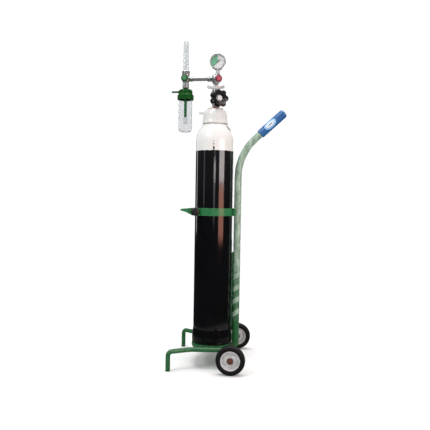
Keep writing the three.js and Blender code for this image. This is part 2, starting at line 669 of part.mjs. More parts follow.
const gaugeSocketPlaced = gaugeSocket.rotateX(Math.PI / 2).rotateZ(Math.PI);
add("gauge_case", join(gaugeCup, gaugeSocketPlaced), metal.chrome, gaugeFrame);
add("gauge_dial", cut(rod(CASE_IN - GAP, 2, 3, 36), rod(2.2, 0, 5, 12)), plastic.dial, gaugeFrame);
add("gauge_lens", rod(CASE_IN - GAP, 8.8, 10.2, 36), plastic.clear, gaugeFrame);
const pointerBlade = polygon([[-13, -1.6], [-13, 1.6], [0, 1.4], [22.5, 0.4], [22.5, -0.4], [0, -1.4]]);
const pointer = join(
  slab(pointerBlade, 4.4, 5.2), rod(2.8, 4.2, 6, 16), rod(1.5, CASE_BACK + 4, 5, 12),
);
const POINTER_REST = THREE.MathUtils.degToRad(225); // zero pressure: down to the left for the reader
add("gauge_pointer", pointer.rotateZ(POINTER_REST), plastic.black, gaugeFrame);

class Arc extends THREE.Curve {
  constructor(radius, height, from, to) {
    super();
    Object.assign(this, { radius, height, from, to });
  }
  getPoint(t, target = new THREE.Vector3()) {
    const angle = THREE.MathUtils.lerp(this.from, this.to, t);
    return target.set(this.radius * Math.cos(angle), this.radius * Math.sin(angle), this.height);
  }
}
const bourdonArc = new Arc(18, -4, -Math.PI / 2, Math.PI * 0.95);
add("bourdon_tube", tube(bourdonArc, 2.4, 0, 8, 12), metal.brass, gaugeFrame);

// ---------------------------------------------------------------- outlet pipe
const FLOW_BOSS = 16;
const pipeRight = -19.2;
const pipeLeft = FLOW_X + FLOW_BOSS + GAP;
const pipeFrameX = vec(-1, 0, 0);
const pipeLength = pipeRight - pipeLeft;
const outletPipe = cut(
  join(
    rod(7.7, 0, pipeLength, 24), hexagon(22, 2, 11), hexagon(20, pipeLength - 10, pipeLength - 1),
  ),
  rod(3, -5, pipeLength + 5, 12),
);
add("outlet_pipe", aimed(outletPipe, vec(pipeRight, 0, REGULATOR_Z), pipeFrameX), metal.chrome);

// ---------------------------------------------------------------- flowmeter
const TUBE_SEAT = 1063;
const KNOB_Z = 1044;
const SPIGOT_BOTTOM = 1021.4;
const COUPLING_R = 6;
const flowTurning = turned([
  [0, SPIGOT_BOTTOM], [COUPLING_R, SPIGOT_BOTTOM], [COUPLING_R, 1031.5], [9, 1031.5], [12, 1034], [13.5, 1038],
  [13.5, 1058], [14.5, 1061], [14.5, 1074], [13.5, 1075.5], [0, 1075.5],
], ROUND);
const needleDirection = vec(0, -1, 0);
const flowBody = cut(
  join(
    flowTurning,
    aimed(rod(9, 0, FLOW_BOSS, 24), vec(0, 0, REGULATOR_Z), vec(1, 0, 0)),
    aimed(rod(8, 0, 21, 24), vec(0, 0, KNOB_Z), needleDirection),
  ),
  rod(10.5, TUBE_SEAT, 1080, 28),
  rod(2, SPIGOT_BOTTOM - 5, TUBE_SEAT + 5, 12),
  aimed(rod(3.4, 1, 25, 16), vec(0, 0, KNOB_Z), needleDirection),
  aimed(rod(2.5, 1, FLOW_BOSS + 5, 12), vec(0, 0, REGULATOR_Z), vec(1, 0, 0)),
);
const flowFrame = frameAt(vec(FLOW_X, 0, 0), UP);
add("flowmeter_body", flowBody, metal.chrome, flowFrame);

const INNER_TUBE_TOP = 1172;
const BALL_R = 3.1;
const BALL_Z = TUBE_SEAT + 7;
add("flow_tube", turned([
  [3.6, TUBE_SEAT + GAP + 2], [5, TUBE_SEAT + GAP + 2], [5, INNER_TUBE_TOP], [4.2, INNER_TUBE_TOP],
], SMALL), plastic.clear, flowFrame);
add("flow_tube_cover", turned([
  [8.6, TUBE_SEAT + GAP], [10.1, TUBE_SEAT + GAP], [10.1, 1090], [9.8, TUBE_TOP - 9], [8.4, TUBE_TOP - 3],
  [5, TUBE_TOP - 0.8], [0, TUBE_TOP], [0, TUBE_TOP - 3], [5, TUBE_TOP - 4], [8.2, TUBE_TOP - 10], [8.6, 1090],
], 24), plastic.clear, flowFrame);
const ball = facingOut(new THREE.SphereGeometry(BALL_R, 12, 8));
add("float_ball", ball.translate(0, 0, BALL_Z), plastic.black, flowFrame);

const knobAxis = frameAt(vec(FLOW_X, 0, KNOB_Z), needleDirection);
const FLOW_KNOB_BACK = 22;
const FLOW_KNOB_FRONT = 36;
const needleEnd = FLOW_KNOB_FRONT - 5;
const needleValve = turned([[0, 6], [0.6, 6], [3, 12], [3, needleEnd], [0, needleEnd]], 16);
add("needle_valve", needleValve, metal.brass, knobAxis);
const flowKnob = cut(
  join(
    slab(lobed(12.7, 0.7, 10, 4), FLOW_KNOB_BACK, FLOW_KNOB_FRONT - 2),
    rod(9, FLOW_KNOB_FRONT - 4, FLOW_KNOB_FRONT, 20),
  ),
  rod(3 + GAP, FLOW_KNOB_BACK - 5, needleEnd + GAP, 16),
);
add("flow_knob", flowKnob, plastic.knobGreen, knobAxis);

// ---------------------------------------------------------------- humidifier
const SKIRT_TOP = 987;
const LID_CEILING = 985;
const RELIEF_START = 29;
const LID_NECK_TOP = 1021;
const DIP_R = 5.3;
const DIP_BOTTOM = 905;
const DIFFUSER_BOTTOM = 881.5;

const couplingNut = cut(
  join(hexagon(26, 1014, 1028), rod(11.4, 1011.5, 1031, 24)),
  rod(COUPLING_R + 0.4, 1005, 1036, 24),
);
add("coupling_nut", couplingNut, metal.chrome, flowFrame);

const lidTurning = turned([
  [2.5, LID_NECK_TOP], [COUPLING_R, LID_NECK_TOP], [COUPLING_R, LID_TOP], [20, LID_TOP], [24, LID_TOP - 2.5],
  [LID_CAP_R - 0.5, LID_TOP - 6], [LID_CAP_R, SKIRT_TOP + 1.5], [LID_R - 2, SKIRT_TOP], [LID_R, SKIRT_TOP - 3],
  [LID_R, LID_BOTTOM + 1], [LID_R - 1, LID_BOTTOM], [BOTTLE_R + 0.5, LID_BOTTOM], [BOTTLE_R + 0.5, LID_CEILING],
  [2.5, LID_CEILING],
], ROUND);
const barbProfile = [
  [0, 20], [5, 20], [4.8, 28], [3.1, 31], [3.1, 34], [3.9, 35], [3.1, 39], [3.9, 40], [3.1, 44], [3.9, 45],
  [3.2, OUTLET_TIP], [0, OUTLET_TIP],
];
const outward = vec(-1, 0, 0);
const lid = cut(
  join(
    lidTurning,
    aimed(turned(barbProfile, 16), vec(0, 0, OUTLET_Z), outward),
    aimed(rod(5.5, 20, RELIEF_START, 16), vec(0, 0, OUTLET_Z - 1), vec(0, 1, 0)),
  ),
  aimed(rod(1.8, 12, OUTLET_TIP + 5, 12), vec(0, 0, OUTLET_Z), outward),
  rod(2, LID_CEILING - 5, OUTLET_Z + 0.5, 12).translate(-14, 0, 0),
);
add("humidifier_lid", lid, plastic.green, flowFrame);
const relief = turned([
  [0, RELIEF_START + GAP], [4.5, RELIEF_START + GAP], [4.5, RELIEF_START + 7], [3.2, RELIEF_START + 9],
  [0, RELIEF_START + 9],
], SMALL);
add("relief_valve", aimed(relief, vec(0, 0, OUTLET_Z - 1), vec(0, 1, 0)), plastic.green, flowFrame);

const bottle = turned([
  [0, BOTTLE_BOTTOM], [15, BOTTLE_BOTTOM], [21, BOTTLE_BOTTOM + 2.5], [24.4, BOTTLE_BOTTOM + 7],
  [BOTTLE_R, BOTTLE_BOTTOM + 13], [BOTTLE_R, LID_CEILING - 0.5], [BOTTLE_R - 1.6, LID_CEILING - 0.5],
  [BOTTLE_R - 1.6, BOTTLE_BOTTOM + 13], [22.8, BOTTLE_BOTTOM + 8.5], [20, BOTTLE_BOTTOM + 4.4],
  [14, BOTTLE_BOTTOM + 2.2], [0, BOTTLE_BOTTOM + 2.2],
], ROUND);
add("humidifier_bottle", bottle, plastic.clear, flowFrame);
add("dip_tube", ring(3.4, DIP_R, DIP_BOTTOM, LID_CEILING - GAP, SMALL), plastic.green, flowFrame);
add("diffuser", turned([
  [0, DIFFUSER_BOTTOM], [5, DIFFUSER_BOTTOM], [8, DIFFUSER_BOTTOM + 3], [8, DIP_BOTTOM - 4],
  [6, DIP_BOTTOM - GAP], [0, DIP_BOTTOM - GAP],
], SMALL), plastic.white, flowFrame);

// ---------------------------------------------------------------- origin
const whole = new THREE.Group();
whole.add(assembly);
assembly.updateMatrixWorld(true);
const extent = new THREE.Box3().setFromObject(assembly, true);
assembly.position.x = -(extent.min.x + extent.max.x) / 2;

export default whole;
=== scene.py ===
"""The looks of a medical oxygen cylinder on a hand trolley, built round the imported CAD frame.

Shapes are written in millimetres on the cylinder's axis, and at() places them in the frame in metres.
"""
import json
from math import acos, asin, atan2, ceil, cos, pi, radians, sin, tan

import bmesh
import bpy
from mathutils import Matrix, Vector, noise


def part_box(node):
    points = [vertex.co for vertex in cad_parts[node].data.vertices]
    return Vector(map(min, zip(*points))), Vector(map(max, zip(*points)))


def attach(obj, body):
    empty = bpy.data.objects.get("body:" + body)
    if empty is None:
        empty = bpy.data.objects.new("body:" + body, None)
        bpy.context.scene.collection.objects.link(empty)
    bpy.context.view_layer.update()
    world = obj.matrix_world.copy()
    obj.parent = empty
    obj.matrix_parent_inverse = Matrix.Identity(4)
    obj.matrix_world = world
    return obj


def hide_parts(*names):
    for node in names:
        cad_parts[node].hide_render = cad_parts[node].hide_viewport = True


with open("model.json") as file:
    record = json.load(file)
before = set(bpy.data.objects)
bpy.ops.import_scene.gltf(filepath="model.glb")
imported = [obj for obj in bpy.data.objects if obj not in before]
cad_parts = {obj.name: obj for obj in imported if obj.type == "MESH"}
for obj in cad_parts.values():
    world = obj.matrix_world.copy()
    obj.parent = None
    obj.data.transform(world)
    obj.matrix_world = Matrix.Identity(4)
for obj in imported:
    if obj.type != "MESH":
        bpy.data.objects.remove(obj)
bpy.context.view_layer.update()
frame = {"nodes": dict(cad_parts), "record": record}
scene = bpy.context.scene

MM = 0.001
TINY = 1e-6
UP, FRONT, BACK = Vector((0, 0, 1)), Vector((0, -1, 0)), Vector((0, 1, 0))
LEFT, RIGHT = Vector((-1, 0, 0)), Vector((1, 0, 0))
SIDES = (("left", -1), ("right", 1))
record = frame["record"]
body_of = {node: body for body, nodes in record["behaviour"]["bodies"].items() for node in nodes}
shell_low, shell_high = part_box("cylinder_shell")
AXIS_X = (shell_low.x + shell_high.x) / 2
POLE_X, POLE_R = 88.5, 12.7


def at(x, y, z):
    """A point given in millimetres from the cylinder's axis at floor level."""
    return Vector((AXIS_X + x * MM, y * MM, z * MM))


def facing(x, y, z, direction):
    """Local millimetres to the frame: local Z runs along direction, and local Y is nearly upright."""
    along = Vector(direction).normalized()
    upright = BACK if abs(along.dot(UP)) > 0.99 else UP
    across = upright.cross(along).normalized()
    upright = along.cross(across)
    axes = Matrix((across, upright, along)).transposed().to_4x4()
    return Matrix.Translation(at(x, y, z)) @ axes @ Matrix.Scale(MM, 4)


def moved(x, y, z):
    return Matrix.Translation(Vector((x, y, z)))


def turned(angle):
    return Matrix.Rotation(angle, 4, "Z")


UPRIGHT = facing(0, 0, 0, UP)
TO_AXIS = UPRIGHT.inverted()


# ---------------------------------------------------------------- meshes: vertices in millimetres, and faces
def softened(points, soft, steps=4, closed=False):
    """Every corner of a polyline turned into a short arc. A third number is the corner's own radius."""
    out = []
    count = len(points)
    for i, (x, y, *own) in enumerate(points):
        here = Vector((x, y))
        into = here - Vector(points[i - 1][:2])
        leave = Vector(points[(i + 1) % count][:2]) - here
        radius = own[0] if own else soft
        is_end = not closed and i in (0, count - 1)
        short = min(into.length, leave.length)
        turn = 0 if is_end or short < TINY else into.angle(leave, 0)
        if radius <= 0 or turn < 0.05:
            out.append(here)
            continue
        reach = min(radius * tan(min(turn, 2.9) / 2), 0.45 * short)
        start = here - into.normalized() * reach
        end = here + leave.normalized() * reach
        for step in range(steps + 1):
            t = step / steps
            out.append(start * (1 - t) ** 2 + here * (2 * t * (1 - t)) + end * t ** 2)
    return [(p.x, p.y) for p in out]


def turns(count):
    return [2 * pi * k / count for k in range(count)]


def polar(radius, angle, z):
    return radius * cos(angle), radius * sin(angle), z


def skinned(rows, looped=False):
    """The faces between neighbouring rings of points. A ring may shrink to a single point."""
    sides = max(len(row) for row in rows)
    vertices, rings = [], []
    for row in rows:
        rings.append([len(vertices) + k % len(row) for k in range(sides)])
        vertices += row
    pairs = list(zip(rings, rings[1:]))
    if looped:
        pairs.append((rings[-1], rings[0]))
    faces = []
    for low, high in pairs:
        for k in range(sides):
            n = (k + 1) % sides
            face = list(dict.fromkeys((low[k], low[n], high[n], high[k])))
            if len(face) > 2:
                faces.append(face)
    return vertices, faces


def capped(rows):
    """Rings of points skinned and closed with a flat face at each end."""
    vertices, faces = skinned(rows)
    last = len(vertices) - len(rows[-1])
    return vertices, [list(range(len(rows[0])))[::-1], list(range(last, len(vertices)))] + faces


def revolved(profile, soft=0.5, segments=96, steps=4, radius_at=None):
    """A solid of revolution about Z from (radius, z) points. radius_at(r, z, angle) may reshape it."""
    ring_like = profile[0][0] > 0
    rows = []
    for r, z in softened(profile, soft, steps, closed=ring_like):
        if r < TINY:
            rows.append([(0, 0, z)])
        else:
            rows.append([polar(radius_at(r, z, a) if radius_at else r, a, z) for a in turns(segments)])
    return skinned(rows, ring_like)


def oblong(left, right, bottom, top):
    """A rectangle's corners. As a profile it makes a plain ring, or a rod when left is 0."""
    return [(left, bottom), (right, bottom), (right, top), (left, top)]


def extruded(outline, bottom, top):
    return capped([[(x, y, z) for x, y in outline] for z in (bottom, top)])


def swept(path, outline, radius_at=None):
    """A 2D outline carried along a path of points, with closed ends. radius_at(ring, angle) scales it."""
    last = len(path) - 1
    tangents = [(path[min(i + 1, last)] - path[max(i - 1, 0)]).normalized() for i in range(len(path))]
    side = tangents[0].orthogonal().normalized()
    if abs(tangents[0].dot(UP)) < 0.9:
        side = UP.cross(tangents[0]).normalized()
    rows = []
    for i, (point, tangent) in enumerate(zip(path, tangents)):
        side = (side - tangent * side.dot(tangent)).normalized()
        up = tangent.cross(side)
        row = []
        for x, y in outline:
            scale = radius_at(i, atan2(y, x)) if radius_at else 1
            row.append(tuple(point + side * (x * scale) + up * (y * scale)))
        rows.append(row)
    return capped(rows)


def circle(radius, sides=32):
    return [polar(radius, angle, 0)[:2] for angle in turns(sides)]


def rounded_ends(path, radius, sides=32, steps=5):
    """A round bar along a path whose two ends are domed a little."""
    first_run, last_run = (path[1] - path[0]).length, (path[-1] - path[-2]).length
    dome = min(radius * 0.4, first_run * 0.9, last_run * 0.9)
    falls = [1 - sin(pi / 2 * (step + 0.35) / steps) for step in range(steps)]
    insets = [dome * fall for fall in reversed(falls)]
    scales = [1 - dome / radius * fall for fall in falls]
    start = [path[0].lerp(path[1], inset / first_run) for inset in insets]
    end = [path[-1].lerp(path[-2], inset / last_run) for inset in reversed(insets)]
    full = start + path[1:-1] + end
    sizes = scales + [1] * (len(full) - 2 * steps) + scales[::-1]
    return swept(full, circle(radius, sides), lambda ring, angle: sizes[ring])


def bent(corners, radii, steps=12):
    """Straight runs between corners, each corner rounded to its own radius."""
    path = [corners[0]]
    for i in range(1, len(corners) - 1):
        into = (corners[i] - corners[i - 1]).normalized()
        leave = (corners[i + 1] - corners[i]).normalized()
        angle = into.angle(leave)
        axis = into.cross(leave).normalized()
        start = corners[i] - into * (radii[i - 1] * tan(angle / 2))
        centre = start + axis.cross(into) * radii[i - 1]
        for step in range(steps + 1):
            path.append(centre + Matrix.Rotation(angle * step / steps, 3, axis) @ (start - centre))
    path.append(corners[-1])
    return path


def spaced(path, pitch):
    """The same path with points no more than a pitch apart."""
    out = [path[0]]
    for a, b in zip(path, path[1:]):
        pieces = max(1, ceil((b - a).length / pitch))
        out += [a.lerp(b, k / pieces) for k in range(1, pieces + 1)]
    return out


def hex_nut(flats, bottom, top, bore=0, segments=96):
    """A nut with its corners chamfered at both ends. flats is the width across the flats."""
    apothem = flats / 2
    limit = apothem * 1.02
    rows = [[] for _ in range(6)]
    for angle in turns(segments):
        fold = (angle % (pi / 3)) - pi / 6
        wide = apothem / cos(fold)
        chamfer = min(wide, limit)
        drop = (wide - chamfer) * 0.6
        section = ((bore, bottom), (chamfer, bottom), (wide, bottom + drop),
                   (wide, top - drop), (chamfer, top), (bore, top))
        for row, (r, z) in zip(rows, section):
            row.append(polar(r, angle, z))
    return skinned(rows, bore > 0)


def lobed(radius, swell, lobes, blend_from=0):
    """A reshaping for revolved(): the edge swells into lobes, and nothing inside blend_from moves."""
    def reshape(r, z, angle):
        share = max(0, min(1, (r - blend_from) / (radius - blend_from)))
        return r + swell * cos(lobes * angle) * share * share
    return reshape


def placed(mesh, matrix):
    vertices, faces = mesh
    return [tuple(matrix @ Vector(v)) for v in vertices], faces


def joined(*meshes):
    vertices, faces = [], []
    for part_vertices, part_faces in meshes:
        start = len(vertices)
        vertices += part_vertices
        faces += [[i + start for i in face] for face in part_faces]
    return vertices, faces


# ---------------------------------------------------------------- pieces
def shown(name, data):
    made = bpy.data.objects.new(name, data)
    scene.collection.objects.link(made)
    return made


def raw_object(name, mesh, matrix):
    vertices, faces = placed(mesh, matrix)
    data = bpy.data.meshes.new(name)
    data.from_pydata(vertices, [], faces)
    editable = bmesh.new()
    editable.from_mesh(data)
    bmesh.ops.remove_doubles(editable, verts=editable.verts, dist=1e-7)
    bmesh.ops.recalc_face_normals(editable, faces=editable.faces)
    editable.to_mesh(data)
    editable.free()
    return shown(name, data)


def bake(made):
    """Turns a piece's modifiers into its mesh."""
    bpy.context.view_layer.update()
    graph = bpy.context.evaluated_depsgraph_get()
    fresh = bpy.data.meshes.new_from_object(made.evaluated_get(graph))
    made.modifiers.clear()
    made.data = fresh


def carve(made, *cutters):
    """Cuts (mesh, matrix) tools out of an object."""
    tools = [raw_object("cutter", mesh, matrix) for mesh, matrix in cutters]
    for tool in tools:
        cut = made.modifiers.new("cut", "BOOLEAN")
        cut.operation = "DIFFERENCE"
        cut.solver = "EXACT"
        cut.object = tool
    bake(made)
    for tool in tools:
        bpy.data.objects.remove(tool)


def melt(made, voxel, passes=8):
    """Fuses overlapping solids into one casting with filleted inner corners."""
    fuse = made.modifiers.new("fuse", "REMESH")
    fuse.mode = "VOXEL"
    fuse.voxel_size = voxel * MM
    fuse.use_smooth_shade = True
    relax = made.modifiers.new("relax", "SMOOTH")
    relax.factor = 0.5
    relax.iterations = passes
    bake(made)


def piece(node, mesh, look, matrix=UPRIGHT, name=None, stands_for=True, bevel=0, voxel=0, passes=8,
          cutters=(), sharp=40):
    """A visible piece that rides on its CAD node's body and takes that node's name."""
    made = raw_object(name or node, mesh, matrix)
    if voxel:
        melt(made, voxel, passes)
    if cutters:
        carve(made, *cutters)
    made.data.materials.clear()
    made.data.materials.append(LOOKS[look])
    made.data.shade_smooth()
    if bevel:
        edge = made.modifiers.new("edge", "BEVEL")
        edge.width = bevel * MM
        edge.segments = 3
        edge.limit_method = "ANGLE"
        edge.angle_limit = radians(35)
    if not voxel:
        made.data.set_sharp_from_angle(angle=radians(sharp))
        shade = made.modifiers.new("shade", "WEIGHTED_NORMAL")
        shade.keep_sharp = not bevel
    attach(made, body_of[node])
    if stands_for:
        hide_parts(node)


def extra(name, mesh, node, look, matrix=UPRIGHT, **options):
    """A piece that only adds to the piece standing for its node."""
    piece(node, mesh, look, matrix, name.replace(" ", "_"), stands_for=False, **options)


# ---------------------------------------------------------------- materials
RELIEF = 0.0004


class Nodes:
    """A material's or a world's node tree, with short calls for adding and linking nodes."""

    def __init__(self, name, owners=bpy.data.materials, surface="Principled BSDF"):
        self.owner = owners.new(name)
        self.owner.use_nodes = True
        self.tree = self.owner.node_tree
        self.surface = self.tree.nodes[surface]
        self.coordinates = self.add("TexCoord").outputs

    def add(self, kind, **settings):
        made = self.tree.nodes.new("ShaderNode" + kind)
        for key, value in settings.items():
            setattr(made, key, value)
        return made

    def put(self, value, socket):
        """Sets a socket to a constant, or links it to another node's output."""
        if isinstance(value, bpy.types.NodeSocket):
            self.tree.links.new(value, socket)
        else:
            socket.default_value = value

    def feed(self, **values):
        for key, value in values.items():
            self.put(value, self.surface.inputs[key.replace("_", " ")])

    def axes(self, coordinates="Object"):
        split = self.add("SeparateXYZ")
        self.put(self.coordinates[coordinates], split.inputs[0])
        return split.outputs

    def noise(self, scale, detail=4, roughness=0.5, stretch=(1, 1, 1)):
        mapping = self.add("Mapping")
        self.put(stretch, mapping.inputs["Scale"])
        self.put(self.coordinates["Object"], mapping.inputs["Vector"])
        made = self.add("TexNoise")
        for key, value in (("Scale", scale), ("Detail", detail), ("Roughness", roughness),
                           ("Vector", mapping.outputs["Vector"])):
            self.put(value, made.inputs[key])
        return made.outputs["Fac"]

    def ranged(self, source, low, high, from_low=0.0, from_high=1.0):
        made = self.add("MapRange")
        for key, value in (("Value", source), ("From Min", from_low), ("From Max", from_high),
                           ("To Min", low), ("To Max", high)):
            self.put(value, made.inputs[key])
        return made.outputs["Result"]

    def maths(self, operation, a, b=0):
        made = self.add("Math", operation=operation)
        self.put(a, made.inputs[0])
        self.put(b, made.inputs[1])
        return made.outputs[0]

    def mixed(self, factor, a, b):
        """Two colours mixed; the Mix node keeps its colour inputs at places 6 and 7."""
        made = self.add("Mix", data_type="RGBA")
        self.put(factor, made.inputs["Factor"])
        for place, value in ((6, a), (7, b)):
            self.put((*value, 1) if isinstance(value, tuple) else value, made.inputs[place])
        return made.outputs[2]

    def bump(self, height, strength, distance=RELIEF):
        made = self.add("Bump")
        for key, value in (("Strength", strength), ("Distance", distance), ("Height", height)):
            self.put(value, made.inputs[key])
        self.feed(Normal=made.outputs["Normal"])


def shade_of(colour, factor):
    return tuple(min(1, c * factor) for c in colour)


def finish(name, colour, roughness, metallic=0.0, vary=0.15, grain=(900, 0.12), mottle=22, dust=0.0,
           dust_colour=(0.45, 0.43, 0.40), wear=0.0, wear_colour=(0.35, 0.34, 0.33), **sockets):
    """A surface with its own variation of colour and roughness, fine relief, and dust or wear on it."""
    nodes = Nodes(name)
    broad = nodes.ranged(nodes.noise(mottle, 5, 0.6), 0, 1, 0.35, 0.65)
    colours = nodes.mixed(broad, shade_of(colour, 1 - vary), shade_of(colour, 1 + vary))
    fine = nodes.noise(mottle * 4, 6, 0.65)
    rough = nodes.ranged(fine, roughness * 0.75, roughness * 1.3, 0.3, 0.7)
    if wear:
        start = 0.74 - wear * 0.1
        scratches = nodes.ranged(nodes.noise(140, 8, 0.75, (1, 1, 0.35)), 0, 1, start, start + 0.04)
        colours = nodes.mixed(scratches, colours, wear_colour)
        rough = nodes.maths("MAXIMUM", rough, nodes.ranged(scratches, 0, 0.55))
    if dust:
        upward = nodes.add("SeparateXYZ")
        nodes.put(nodes.add("NewGeometry").outputs["Normal"], upward.inputs[0])
        lying = nodes.ranged(upward.outputs["Z"], 0.12, 1)
        patchy = nodes.ranged(nodes.noise(60, 8, 0.7), 0, dust, 0.35, 0.75)
        amount = nodes.maths("MULTIPLY", lying, patchy)
        colours = nodes.mixed(amount, colours, dust_colour)
        rough = nodes.maths("ADD", rough, nodes.maths("MULTIPLY", amount, 0.5))
    nodes.bump(nodes.noise(grain[0], 3, 0.55), grain[1])
    nodes.feed(Base_Color=colours, Roughness=rough, Metallic=metallic, **sockets)
    return nodes.owner


LOOKS = {
    "green": finish("green stove enamel", (0.014, 0.105, 0.030), 0.24, vary=0.14, grain=(420, 0.10),
                    dust=0.10, wear=0.15, Coat_Weight=0.15, Coat_Roughness=0.12),
    "black": finish("black cylinder enamel", (0.0022, 0.0024, 0.0032), 0.14, grain=(260, 0.05), dust=0.02,
                    wear=0.1, Specular_IOR_Level=0.3),
    "white": finish("white guard enamel", (0.78, 0.78, 0.76), 0.26, vary=0.04, grain=(380, 0.10), dust=0.18,
                    dust_colour=(0.35, 0.33, 0.30), Coat_Weight=0.3, Coat_Roughness=0.1),
    "chrome": finish("polished chrome plate", (0.66, 0.67, 0.68), 0.24, metallic=1.0, vary=0.08,
                     grain=(700, 0.04)),
    "pipe": finish("dull nickel pipe", (0.40, 0.41, 0.41), 0.36, metallic=0.65, vary=0.1,
                   grain=(900, 0.08)),
    "nickel": finish("brushed nickel plate", (0.66, 0.67, 0.68), 0.3, metallic=0.75, vary=0.06,
                     grain=(900, 0.08)),
    "satin": finish("satin nickel plate", (0.84, 0.84, 0.83), 0.34, metallic=0.45, vary=0.06,
                    grain=(900, 0.10)),
    "steel": finish("turned steel", (0.42, 0.42, 0.43), 0.3, metallic=1.0, vary=0.1, grain=(1400, 0.12)),
    "zinc": finish("zinc-plated steel", (0.78, 0.79, 0.80), 0.34, metallic=0.6, vary=0.22, mottle=90,
                   grain=(1100, 0.10), dust=0.15, wear=0.2, wear_colour=(0.22, 0.16, 0.11)),
    "brass": finish("turned brass", (0.62, 0.43, 0.17), 0.28, metallic=1.0, vary=0.1, grain=(1500, 0.1)),
    "rust": finish("rusty axle cap", (0.11, 0.035, 0.022), 0.6, metallic=0.35, vary=0.45, mottle=160,
                   grain=(500, 0.5)),
    "tyre": finish("tyre rubber", (0.0035, 0.0038, 0.0042), 0.5, Specular_IOR_Level=0.3, vary=0.25,
                   grain=(1300, 0.35), dust=0.12, dust_colour=(0.10, 0.09, 0.085)),
    "rubber": finish("moulded rubber", (0.014, 0.014, 0.015), 0.55, vary=0.15, grain=(1100, 0.3), dust=0.2,
                     dust_colour=(0.16, 0.15, 0.14)),
    "grip": finish("dipped blue vinyl", (0.012, 0.115, 0.33), 0.34, vary=0.12, grain=(1500, 0.28),
                   mottle=35, dust=0.12, Coat_Weight=0.2, Coat_Roughness=0.2),
    "black_plastic": finish("black moulded plastic", (0.008, 0.009, 0.010), 0.35, vary=0.12,
                            grain=(1700, 0.3)),
    "wheel_plastic": finish("glossy black phenolic", (0.0035, 0.004, 0.0045), 0.20, vary=0.15,
                            grain=(500, 0.12), Coat_Weight=0.3, Coat_Roughness=0.1),
    "strap": finish("green strap enamel", (0.024, 0.18, 0.058), 0.28, vary=0.12, grain=(420, 0.10),
                    dust=0.08, wear=0.15, Coat_Weight=0.15, Coat_Roughness=0.12),
    "grey_ink": finish("grey tube marking ink", (0.34, 0.35, 0.35), 0.5, grain=(2000, 0.05)),
    "stamped": finish("worn stamp field", (0.44, 0.42, 0.40), 0.45, vary=0.25, mottle=120,
                      grain=(700, 0.4)),
    "red": finish("red moulded plastic", (0.24, 0.028, 0.045), 0.35, vary=0.1, grain=(1500, 0.15)),
    "lid": finish("dark green moulded plastic", (0.0005, 0.070, 0.004), 0.34, vary=0.12, grain=(1600, 0.16),
                  Specular_IOR_Level=0.25),
    "knob": finish("green moulded plastic", (0.004, 0.085, 0.018), 0.3, vary=0.1, grain=(1500, 0.2)),
    "sinter": finish("white sintered plastic", (0.80, 0.80, 0.77), 0.75, vary=0.1, mottle=400,
                     grain=(2600, 0.9)),
    "dial": finish("printed dial face", (0.82, 0.83, 0.82), 0.4, vary=0.02, grain=(2000, 0.05)),
    "ink": finish("black dial ink", (0.015, 0.015, 0.015), 0.5, grain=(2000, 0.05)),
    "dial_green": finish("green dial ink", (0.03, 0.47, 0.21), 0.45, grain=(2000, 0.05)),
    "dial_red": finish("red dial ink", (0.55, 0.03, 0.03), 0.45, grain=(2000, 0.05)),
    "beading": finish("faded red rubber beading", (0.30, 0.085, 0.065), 0.5, vary=0.2, grain=(900, 0.3)),
    "pale_red": finish("pale red moulded plastic", (0.50, 0.075, 0.11), 0.35, vary=0.1, grain=(1500, 0.15)),
    "pale_green": finish("pale green moulded plastic", (0.07, 0.24, 0.11), 0.3, vary=0.1,
                         grain=(1500, 0.15)),
    "decal": finish("pale blue sticker", (0.30, 0.52, 0.80), 0.3, vary=0.05, grain=(900, 0.05)),
    "decal_white": finish("white sticker print", (0.80, 0.84, 0.88), 0.3, vary=0.03, grain=(900, 0.05)),
}


def clear_plastic(name, tint, roughness, grain, bend, solid):
    """bend is the index of refraction, and solid is how much of the surface isn't simply seen through."""
    nodes = Nodes(name)
    colours = nodes.mixed(nodes.ranged(nodes.noise(40), 0, 1, 0.35, 0.65), tint, shade_of(tint, 0.96))
    rough = nodes.ranged(nodes.noise(120, 6, 0.6), roughness * 0.6, roughness * 1.8, 0.3, 0.7)
    nodes.bump(nodes.noise(grain, 2), 0.05)
    nodes.feed(Base_Color=colours, Roughness=rough, Transmission_Weight=1.0, IOR=bend, Alpha=solid)
    return nodes.owner


FILM_PITCH = 46


